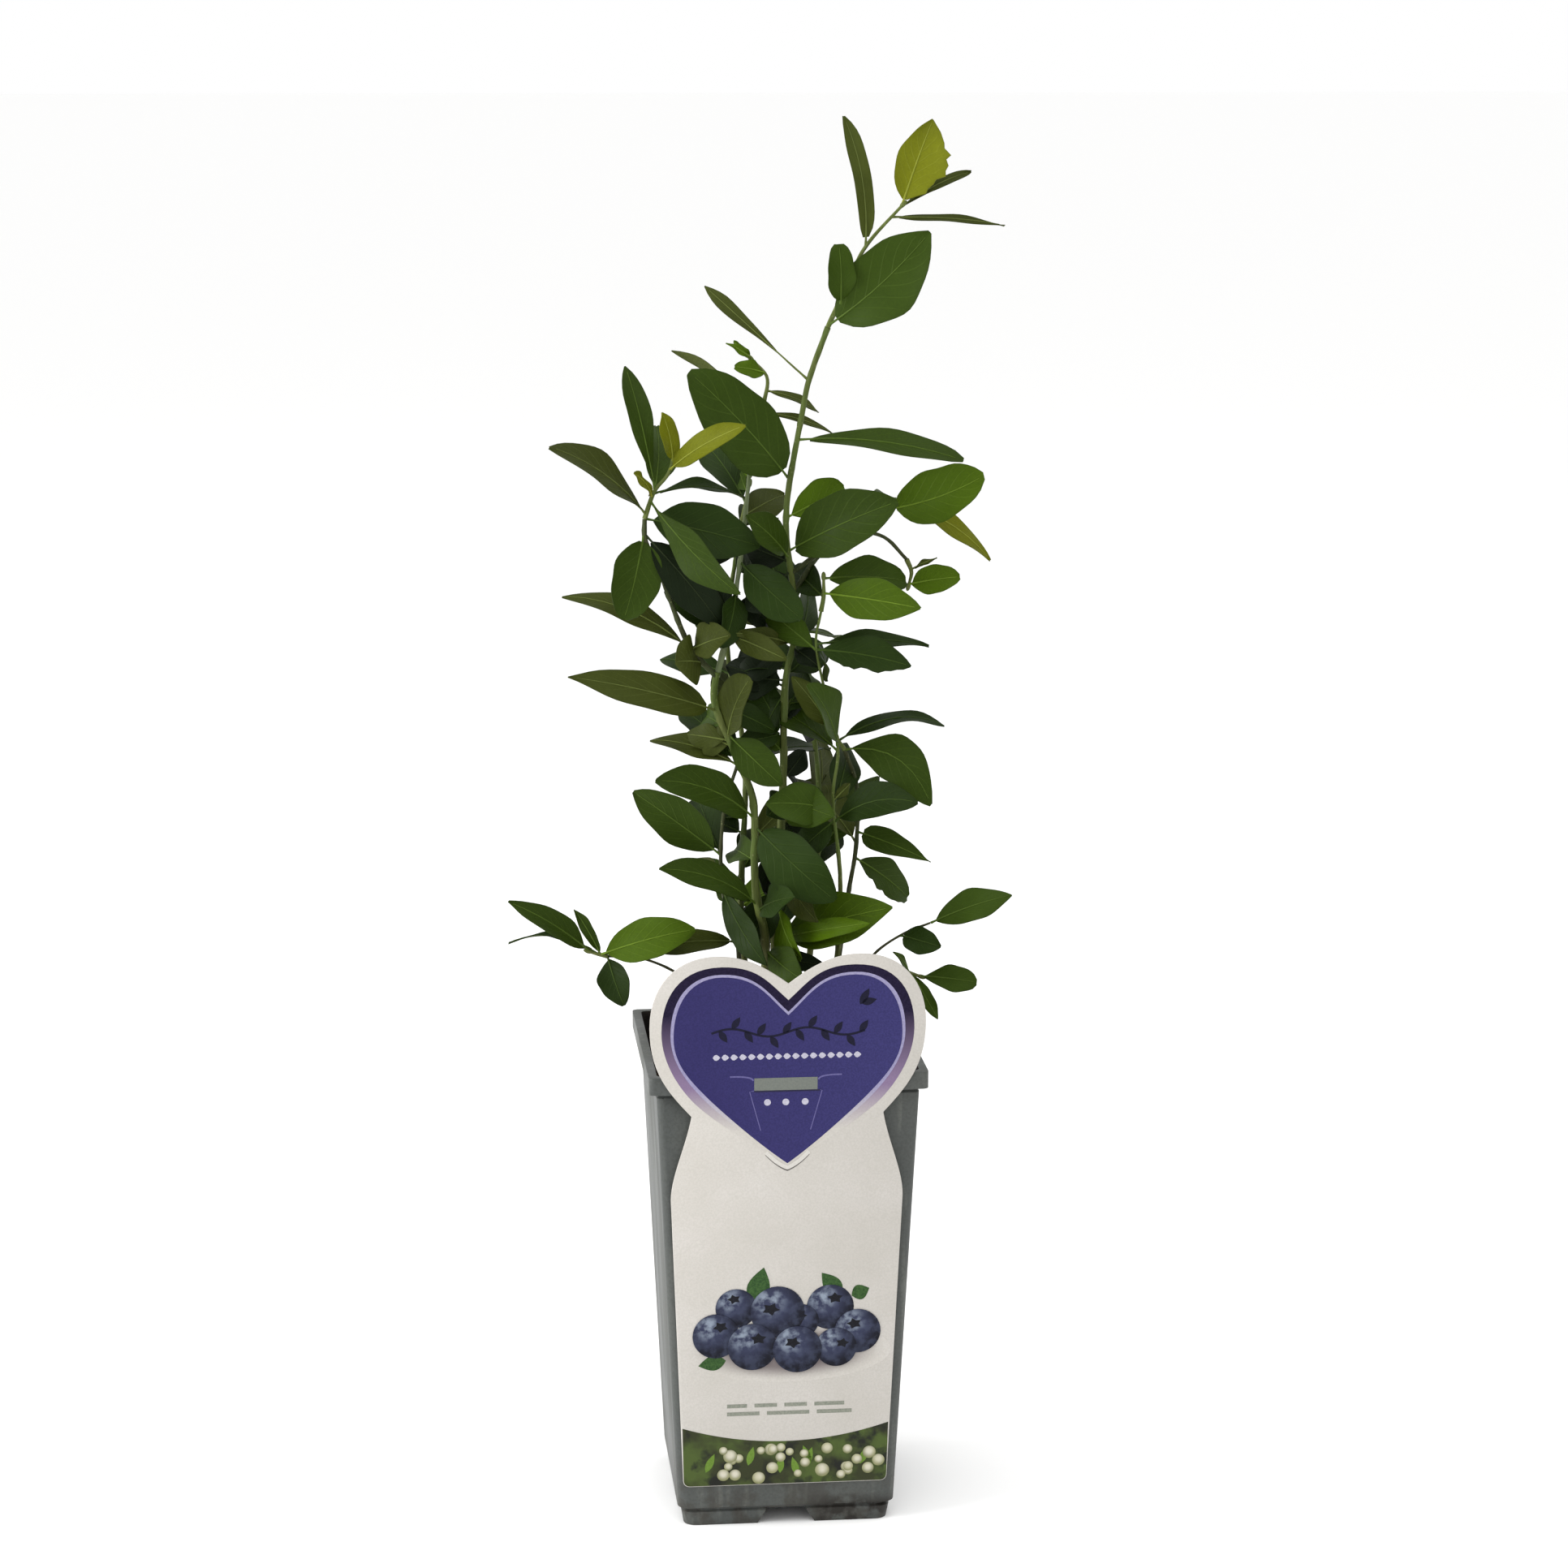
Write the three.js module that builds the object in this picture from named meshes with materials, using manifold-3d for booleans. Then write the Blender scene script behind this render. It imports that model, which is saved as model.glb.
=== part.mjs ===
// Young blueberry bush in a square nursery pot, with a plant label hung on the pot's front rim.
// Millimetres, +Z up. The pot's front faces -Y and its foot stands on Z = 0.
// The whole model is moved at the end, so that the origin is the middle of its footprint.
import * as THREE from 'three';
import Module from 'manifold-3d';
import { mergeVertices } from 'three/addons/utils/BufferGeometryUtils.js';

// Pot
const POT_HEIGHT = 190;
const RIM_WIDTH = 110;
const RIM_BAND_HEIGHT = 7;
const RIM_LIP = 3.4;
const WALL_TOP_WIDTH = 103.8;
const WALL_FOOT_WIDTH = 87.4;
const WALL_THICKNESS = 1.5;
const FOOT_HEIGHT = 7;
const FOOT_STEP = 1.6;
const FOOT_WALL = 3;
const FLOOR_UNDERSIDE = 5.5;
const FLOOR_TOP = 7.5;
const RIM_CORNER_RADIUS = 2.4;
const FOOT_CORNER_RADIUS = 5;
const FOOT_TAPER = 1;
const CORNER_STEPS = 3;
const STEP_CHAMFER = 0.6;
const NOTCH_WIDTH_BELOW = 23;
const NOTCH_WIDTH_ABOVE = 15;
const NOTCH_HEIGHT = 6.8;
const DRAIN_RADIUS = 4;
const DRAIN_PLACE = 24;

// Soil
const SOIL_TOP = 168;
const SOIL_CLEARANCE = 0.4;
const SOIL_EDGE_DROP = 2;
const SOIL_UNEVENNESS = 0.7;

// Label: a flat card that leans from the rim to the foot of the front wall, left of the pot's middle
const LABEL_OFFSET = -0.8;
const LABEL_HALF_BOTTOM = 41;
const LABEL_HALF_SHOULDER = 45.8;
const LABEL_HALF_NECK = 37.7;
const LABEL_HALF_HEART = 54;
const LABEL_LOBE_X = 28;
const LABEL_BOTTOM = 18;
const LABEL_SHOULDER = 146;
const LABEL_NECK = 174.5;
const LABEL_HEART_WIDEST = 211;
const LABEL_LOBE_TOP = 239.5;
const LABEL_HEART_NOTCH = 228;
const LABEL_ROUND = 3;
const LABEL_THICKNESS = 1;
const LABEL_GAP = 0.35;
const TONGUE_WIDTH = 26;
const TONGUE_INSET = 3.2;
const TONGUE_DEPTH_IN_POT = 18;

// Plant
const SEAT_GAP = 0.3;
const SPRAY_GAP = 0.45;
const FOOT_FLARE = 1.7;
const FLARE_HEIGHT = 14;
const LIMB_SIDES = 5;
const LIMB_STEP = 17;
const TWIG_SIDES = 4;
const TWIG_STEP = 8;
const SLEEVE_WALL = 1.7;
const BLADE_THICKNESS = 1.2;
const PETIOLE_HALF_WIDTH = 0.6;
const PETIOLE_SEAT = 0.7;
const BLADE_ARCH = 0.06;
const SPRAY_TOLERANCE = 0.12;
const SLIVER_TOLERANCE = 0.02;
const GOLDEN_ANGLE = 137.5;
const SEED_ANGLE = 47;
const REAR_SPREAD = 0.5;
const REAR_TURN_IN = 0.6;
// Leaves towards the back: typical reach, rise, width and face, each with how much it varies
const REAR_REACH = [33, 7];
const REAR_RISE = [11, 12];
const REAR_WIDTH = [15, 3];
const REAR_FACE = [60, 25];
const TWIG_RADII = [1.2, 0.8];

const wasm = await Module();
wasm.setup();

// ---------------------------------------------------------------- geometry helpers

// A closed body from rings of points, each ring with as many points as the first.
function loft(rings) {
  const count = rings[0].length;
  const positions = [];
  const triangles = [];
  for (const ring of rings) {
    for (const point of ring) {
      positions.push(point.x, point.y, point.z);
    }
  }
  for (let row = 0; row + 1 < rings.length; row += 1) {
    for (let i = 0; i < count; i += 1) {
      const next = (i + 1) % count;
      const a = row * count + i;
      const b = row * count + next;
      triangles.push(a, b, b + count);
      triangles.push(a, b + count, a + count);
    }
  }
  const last = (rings.length - 1) * count;
  for (let i = 1; i + 1 < count; i += 1) {
    triangles.push(0, i + 1, i);
    triangles.push(last, last + i, last + i + 1);
  }
  const geometry = new THREE.BufferGeometry();
  geometry.setAttribute('position', new THREE.Float32BufferAttribute(positions, 3));
  geometry.setIndex(triangles);
  return geometry;
}

function signedVolume(positions, index) {
  const a = new THREE.Vector3();
  const b = new THREE.Vector3();
  const c = new THREE.Vector3();
  let volume = 0;
  for (let i = 0; i < index.length; i += 3) {
    a.fromArray(positions, index[i] * 3);
    b.fromArray(positions, index[i + 1] * 3);
    c.fromArray(positions, index[i + 2] * 3);
    volume += a.dot(b.cross(c)) / 6;
  }
  return volume;
}

function toManifold(geometry) {
  const bare = geometry.clone();
  bare.deleteAttribute('normal');
  bare.deleteAttribute('uv');
  const merged = mergeVertices(bare, 1e-3);
  const positions = merged.attributes.position.array;
  const index = Uint32Array.from(merged.index.array);
  if (signedVolume(positions, index) < 0) {
    for (let i = 0; i < index.length; i += 3) {
      [index[i + 1], index[i + 2]] = [index[i + 2], index[i + 1]];
    }
  }
  return new wasm.Manifold(new wasm.Mesh({ numProp: 3, vertProperties: positions, triVerts: index }));
}

function toGeometry(solid) {
  const mesh = solid.getMesh();
  const geometry = new THREE.BufferGeometry();
  geometry.setAttribute('position', new THREE.Float32BufferAttribute(mesh.vertProperties, 3));
  geometry.setIndex(Array.from(mesh.triVerts));
  geometry.computeVertexNormals();
  return geometry;
}

function joined(solids) {
  return solids.reduce((whole, solid) => whole.add(solid));
}

// The largest body of a solid: a cut can leave loose slivers, which are dropped.
function largestBody(solid) {
  const bodies = solid.decompose();
  return bodies.reduce((best, body) => (body.volume() > best.volume() ? body : best));
}

const group = new THREE.Group();

function addPart(name, solid, material) {
  const mesh = new THREE.Mesh(toGeometry(solid), material.clone());
  mesh.name = name;
  group.add(mesh);
}

const POT_PLASTIC = new THREE.MeshStandardMaterial({ color: 0x5a605a, roughness: 0.6, metalness: 0 });
const SOIL = new THREE.MeshStandardMaterial({ color: 0x2b1f17, roughness: 0.95, metalness: 0 });
const CARD = new THREE.MeshStandardMaterial({ color: 0xd9d5cd, roughness: 0.45, metalness: 0 });
const GREEN_BARK = new THREE.MeshStandardMaterial({ color: 0x6f7f45, roughness: 0.7, metalness: 0 });
const LEAF = new THREE.MeshStandardMaterial({ color: 0x3c5a23, roughness: 0.55, metalness: 0 });

// ---------------------------------------------------------------- pot and soil

// The pot's corners are crisp at the rim and rounder towards the foot.
function cornerRadius(z) {
  return FOOT_CORNER_RADIUS + (RIM_CORNER_RADIUS - FOOT_CORNER_RADIUS) * z / POT_HEIGHT;
}

function roundedSquare(half, z, radius = cornerRadius(z)) {
  const ring = [];
  for (let corner = 0; corner < 4; corner += 1) {
    const start = corner * Math.PI / 2;
    const cx = (half - radius) * Math.sign(Math.cos(start + Math.PI / 4));
    const cy = (half - radius) * Math.sign(Math.sin(start + Math.PI / 4));
    for (let step = 0; step <= CORNER_STEPS; step += 1) {
      const angle = start + (step / CORNER_STEPS) * Math.PI / 2;
      ring.push(new THREE.Vector3(cx + radius * Math.cos(angle), cy + radius * Math.sin(angle), z));
    }
  }
  return ring;
}

const wallFoot = WALL_FOOT_WIDTH / 2;
const wallTop = WALL_TOP_WIDTH / 2;
const wallTopZ = POT_HEIGHT - RIM_BAND_HEIGHT;

// Half width of the wall's outer face at a height.
function wallHalf(z) {
  return wallFoot + (wallTop - wallFoot) * (z - FOOT_HEIGHT) / (wallTopZ - FOOT_HEIGHT);
}

function makePot() {
  const outer = toManifold(loft([
    roundedSquare(wallFoot - FOOT_STEP - FOOT_TAPER, 0),
    roundedSquare(wallFoot - FOOT_STEP, FOOT_HEIGHT),
    roundedSquare(wallFoot, FOOT_HEIGHT + STEP_CHAMFER),
    roundedSquare(wallTop, wallTopZ - STEP_CHAMFER),
    roundedSquare(RIM_WIDTH / 2, wallTopZ),
    roundedSquare(RIM_WIDTH / 2, POT_HEIGHT),
  ]));
  const inside = toManifold(loft([
    roundedSquare(wallHalf(FLOOR_TOP) - WALL_THICKNESS, FLOOR_TOP),
    roundedSquare(wallHalf(wallTopZ) - WALL_THICKNESS, wallTopZ),
    roundedSquare(RIM_WIDTH / 2 - RIM_LIP, POT_HEIGHT),
    roundedSquare(RIM_WIDTH / 2 - RIM_LIP, POT_HEIGHT + 5),
  ]));
  const footHollow = toManifold(loft([
    roundedSquare(wallFoot - FOOT_STEP - FOOT_WALL, -5),
    roundedSquare(wallFoot - FOOT_STEP - FOOT_WALL, FLOOR_UNDERSIDE),
  ]));
  let pot = outer.subtract(inside).subtract(footHollow);
  const notchOutline = new THREE.Shape([
    new THREE.Vector2(-NOTCH_WIDTH_BELOW / 2 - 2, -2),
    new THREE.Vector2(NOTCH_WIDTH_BELOW / 2 + 2, -2),
    new THREE.Vector2(NOTCH_WIDTH_ABOVE / 2, NOTCH_HEIGHT),
    new THREE.Vector2(-NOTCH_WIDTH_ABOVE / 2, NOTCH_HEIGHT),
  ]);
  const reach = WALL_FOOT_WIDTH + 10;
  for (const turn of [0, Math.PI / 2]) {
    const notch = new THREE.ExtrudeGeometry(notchOutline, { depth: reach, bevelEnabled: false });
    notch.translate(0, 0, -reach / 2);
    notch.rotateX(Math.PI / 2);
    notch.rotateZ(turn);
    const floorStays = toManifold(loft([
      roundedSquare(wallFoot - FOOT_STEP - FOOT_WALL - 0.5, FLOOR_UNDERSIDE),
      roundedSquare(wallFoot - FOOT_STEP - FOOT_WALL - 0.5, FLOOR_TOP),
    ]));
    pot = pot.subtract(toManifold(notch).subtract(floorStays));
  }
  const drains = [[0, 0], [1, 1], [1, -1], [-1, 1], [-1, -1]];
  for (const [sx, sy] of drains) {
    const drain = new THREE.CylinderGeometry(DRAIN_RADIUS, DRAIN_RADIUS, 12, 8);
    drain.rotateX(Math.PI / 2);
    drain.translate(sx * DRAIN_PLACE, sy * DRAIN_PLACE, FLOOR_TOP);
    pot = pot.subtract(toManifold(drain));
  }
  return pot;
}

function makeSoil() {
  const insideHalf = (z) => wallHalf(z) - WALL_THICKNESS - SOIL_CLEARANCE;
  const edge = SOIL_TOP - SOIL_EDGE_DROP;
  const rings = [
    roundedSquare(insideHalf(FLOOR_TOP + SOIL_CLEARANCE), FLOOR_TOP + SOIL_CLEARANCE),
    roundedSquare(insideHalf(edge), edge),
  ];
  for (const [share, rise] of [[0.86, 0.6], [0.66, 1.4]]) {
    const ring = roundedSquare(insideHalf(edge) * share, edge + rise, cornerRadius(edge) * share);
    ring.forEach((point, i) => {
      point.z += SOIL_UNEVENNESS * Math.sin(i * 2.4 + share * 9);
    });
    rings.push(ring);
  }
  rings.push(roundedSquare(insideHalf(edge) * 0.55, SOIL_TOP, cornerRadius(edge) * 0.55));
  return toManifold(loft(rings));
}

// ---------------------------------------------------------------- label

// The right half from the middle of the bottom edge to the heart's notch, then the left half back.
function labelOutline() {
  const outline = new THREE.Shape();
  outline.moveTo(0, LABEL_BOTTOM);
  for (const m of [1, -1]) {
    const steps = [
      [[LABEL_HALF_BOTTOM - LABEL_ROUND, LABEL_BOTTOM]],
      [[LABEL_HALF_BOTTOM, LABEL_BOTTOM], [LABEL_HALF_BOTTOM, LABEL_BOTTOM + LABEL_ROUND]],
      [[LABEL_HALF_SHOULDER, LABEL_SHOULDER - 6]],
      [[LABEL_HALF_SHOULDER, LABEL_SHOULDER + 4], [LABEL_HALF_NECK + 2, LABEL_NECK - 12], [LABEL_HALF_NECK, LABEL_NECK]],
      [[LABEL_HALF_NECK + 9, LABEL_NECK + 10], [LABEL_HALF_HEART, LABEL_HEART_WIDEST - 18],
        [LABEL_HALF_HEART, LABEL_HEART_WIDEST]],
      [[LABEL_HALF_HEART, LABEL_HEART_WIDEST + 17], [LABEL_LOBE_X + 16, LABEL_LOBE_TOP], [LABEL_LOBE_X, LABEL_LOBE_TOP]],
      [[LABEL_LOBE_X - 12, LABEL_LOBE_TOP], [8, LABEL_HEART_NOTCH + 6], [0, LABEL_HEART_NOTCH]],
    ];
    const starts = [[0, LABEL_BOTTOM], ...steps.map((step) => step[step.length - 1])];
    const ordered = m > 0 ? steps : steps.map((step, i) => [...step.slice(0, -1).reverse(), starts[i]]).reverse();
    for (const step of ordered) {
      const flat = step.flatMap(([x, z]) => [x * m, z]);
      if (step.length === 1) {
        outline.lineTo(...flat);
      } else if (step.length === 2) {
        outline.quadraticCurveTo(...flat);
      } else {
        outline.bezierCurveTo(...flat);
      }
    }
  }
  return outline;
}

function makeLabel() {
  // The card leans in towards the pot's foot: its back clears the rim's lower edge and the wall at
  // the card's own bottom edge.
  const backAtRim = -RIM_WIDTH / 2 - LABEL_GAP;
  const backAtFoot = -wallHalf(LABEL_BOTTOM) - LABEL_GAP;
  const lean = (backAtFoot - backAtRim) / (wallTopZ - LABEL_BOTTOM);
  const plate = new THREE.ExtrudeGeometry(labelOutline(), {
    depth: LABEL_THICKNESS,
    bevelEnabled: false,
    curveSegments: 5,
  });
  plate.rotateX(Math.PI / 2);
  plate.applyMatrix4(new THREE.Matrix4().makeShear(0, 0, 0, 0, 0, -lean));
  plate.translate(0, backAtRim + lean * wallTopZ, 0);
  // A tongue behind the plate lies over the rim and reaches down inside the pot.
  const backAtTop = backAtRim - lean * (POT_HEIGHT - wallTopZ);
  const legFace = -(RIM_WIDTH / 2 - RIM_LIP) + TONGUE_INSET;
  const bridgeFront = backAtTop - LABEL_THICKNESS / 2;
  const bridgeUnderside = POT_HEIGHT + SEAT_GAP;
  const bridge = new THREE.BoxGeometry(TONGUE_WIDTH, legFace - bridgeFront, LABEL_THICKNESS);
  bridge.translate(0, (legFace + bridgeFront) / 2, bridgeUnderside + LABEL_THICKNESS / 2);
  const leg = new THREE.BoxGeometry(TONGUE_WIDTH, LABEL_THICKNESS, TONGUE_DEPTH_IN_POT);
  leg.translate(0, legFace - LABEL_THICKNESS / 2, bridgeUnderside + LABEL_THICKNESS - TONGUE_DEPTH_IN_POT / 2);
  return joined([toManifold(plate), toManifold(bridge), toManifold(leg)]).translate(LABEL_OFFSET, 0, 0);
}

// ---------------------------------------------------------------- limbs

// Each limb is one tapering branch: its path from foot or fork to tip, and its radius at both ends.
// A limb with a parent starts inside that parent, and is cut off flush with it.
const FOOT = SOIL_TOP + SEAT_GAP;
const LIMBS = {
  stem_main: {
    radii: [2.4, 1.1],
    path: [[1, 2, FOOT], [0, 3, 223], [3, 2, 293], [4, 1, 337], [8, 0, 359], [4, 0, 402], [10, 0, 441], [13, 0, 456],
      [20, -4, 477]],
  },
  stem_left: {
    radii: [2.1, 1.4],
    path: [[-10, -5, FOOT], [-5, -8, 231], [-9, -8, 254], [-10, -7, 291], [-16, -7, 307], [-25, -6, 331], [-24, -6, 342]],
  },
  stem_right: {
    radii: [1.8, 1.0],
    path: [[14, -6, FOOT], [24, -8, 227], [25, -8, 258], [22, -8, 292], [24, -8, 310], [19, -9, 332], [15, -9, 354],
      [17, -9, 366]],
  },
  stem_right_thin: {
    radii: [1.4, 0.8],
    path: [[20, 6, FOOT], [30, 6, 249], [33, 6, 268], [33, 5, 293], [28, 4, 308]],
  },
  stem_left_thin: {
    radii: [1.4, 0.7],
    path: [[-13, 8, FOOT], [-15, 8, 229], [-21, 8, 252], [-20, 7, 285], [-15, 6, 302]],
  },
  stem_back_left: {
    radii: [1.9, 0.9],
    path: [[-5, 15, FOOT], [-12, 24, 230], [-10, 28, 300], [-17, 30, 350], [-12, 28, 392]],
  },
  stem_back_right: {
    radii: [1.8, 0.9],
    path: [[9, 14, FOOT], [17, 22, 230], [20, 28, 290], [14, 30, 340]],
  },
  bough_left_outer: {
    parent: 'stem_left',
    radii: [1.2, 0.9],
    path: [[-24, -6, 340], [-34, -7, 351], [-39, -8, 362], [-47, -8, 384], [-52, -6, 395], [-52, -5, 403]],
  },
  bough_left_inner: {
    parent: 'stem_left',
    radii: [1.3, 0.8],
    path: [[-24, -6, 340], [-21, -4, 351], [-18, -2, 361], [-12, 2, 402], [-9, 4, 432]],
  },
  bough_right_upper: {
    parent: 'stem_main',
    radii: [1.1, 0.8],
    path: [[7, 0, 372], [18, 8, 386], [32, 9, 397], [42, 7, 402]],
  },
  bough_right_mid: {
    parent: 'stem_main',
    radii: [1.0, 0.7],
    path: [[6, 0, 380], [20, -3, 390], [34, -3, 396], [43, -1, 394], [52, 0, 385]],
  },
  bough_low_left: {
    radii: [1.3, 0.7],
    path: [[-18, -4, FOOT], [-22, -5, 200], [-38, -4, 218], [-55, -3, 226], [-68, -3, 227]],
  },
  bough_low_right: {
    radii: [1.2, 0.7],
    path: [[23, -5, FOOT], [28, -6, 205], [38, -6, 225], [51, -5, 234], [62, -4, 238]],
  },
  bough_low_right_rear: {
    radii: [1.1, 0.7],
    path: [[21, 15, FOOT], [32, 16, 196], [44, 14, 211], [54, 12, 214]],
  },
  bough_low_back: {
    radii: [1.2, 0.7],
    path: [[1, 22, FOOT], [2, 34, 205], [-3, 48, 222], [-8, 58, 230]],
  },
};

function limbCurve(limb) {
  const points = limb.path.map((place) => new THREE.Vector3(...place));
  if (!limb.parent) {
    const rise = points[0].clone().lerp(points[1], 0.1);
    points.splice(1, 0, new THREE.Vector3(points[0].x, points[0].y, rise.z));
  }
  return new THREE.CatmullRomCurve3(points, false, 'centripetal');
}

// A round tapering solid along a curve. radiusAt gives the radius at a share of the length,
// and grow widens it all round and lengthens both its ends.
function tube(curve, radiusAt, sides, stepLength, flatFoot, grow = 0) {
  const steps = Math.max(2, Math.round(curve.getLength() / stepLength));
  const rings = [];
  let across = new THREE.Vector3(1, 0, 0);
  for (let step = 0; step <= steps; step += 1) {
    const share = step / steps;
    const centre = curve.getPointAt(share);
    const along = curve.getTangentAt(share);
    if (flatFoot && step === 0) {
      along.set(0, 0, 1);
    }
    if (step === 0 || step === steps) {
      centre.addScaledVector(along, step === 0 ? -grow : grow);
    }
    across = across.clone().addScaledVector(along, -across.dot(along)).normalize();
    const third = new THREE.Vector3().crossVectors(along, across);
    const ring = [];
    for (let i = 0; i < sides; i += 1) {
      const angle = (i / sides) * 2 * Math.PI;
      const point = centre.clone();
      point.addScaledVector(across, (radiusAt(share) + grow) * Math.cos(angle));
      point.addScaledVector(third, (radiusAt(share) + grow) * Math.sin(angle));
      ring.push(point);
    }
    rings.push(ring);
  }
  return toManifold(loft(rings));
}

function limbRadius(limb, share) {
  const [foot, tip] = limb.radii;
  const plain = foot + (tip - foot) * share;
  if (limb.parent) {
    return plain;
  }
  const height = share * limb.length;
  const flare = Math.max(0, 1 - height / FLARE_HEIGHT);
  return plain * (1 + (FOOT_FLARE - 1) * flare * flare);
}

for (const limb of Object.values(LIMBS)) {
  limb.curve = limbCurve(limb);
  limb.length = limb.curve.getLength();
  limb.solid = tube(limb.curve, (share) => limbRadius(limb, share), LIMB_SIDES, LIMB_STEP, !limb.parent);
  limb.grown = tube(
    limb.curve, (share) => limbRadius(limb, share), LIMB_SIDES, LIMB_STEP, !limb.parent, SEAT_GAP * 1.2,
  );
}

const limbNames = Object.keys(LIMBS);
limbNames.forEach((name, i) => {
  const limb = LIMBS[name];
  for (const earlier of limbNames.slice(0, i)) {
    limb.solid = limb.solid.subtract(LIMBS[earlier].grown);
  }
  limb.solid = largestBody(limb.solid);
});

// ---------------------------------------------------------------- foliage

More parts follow.
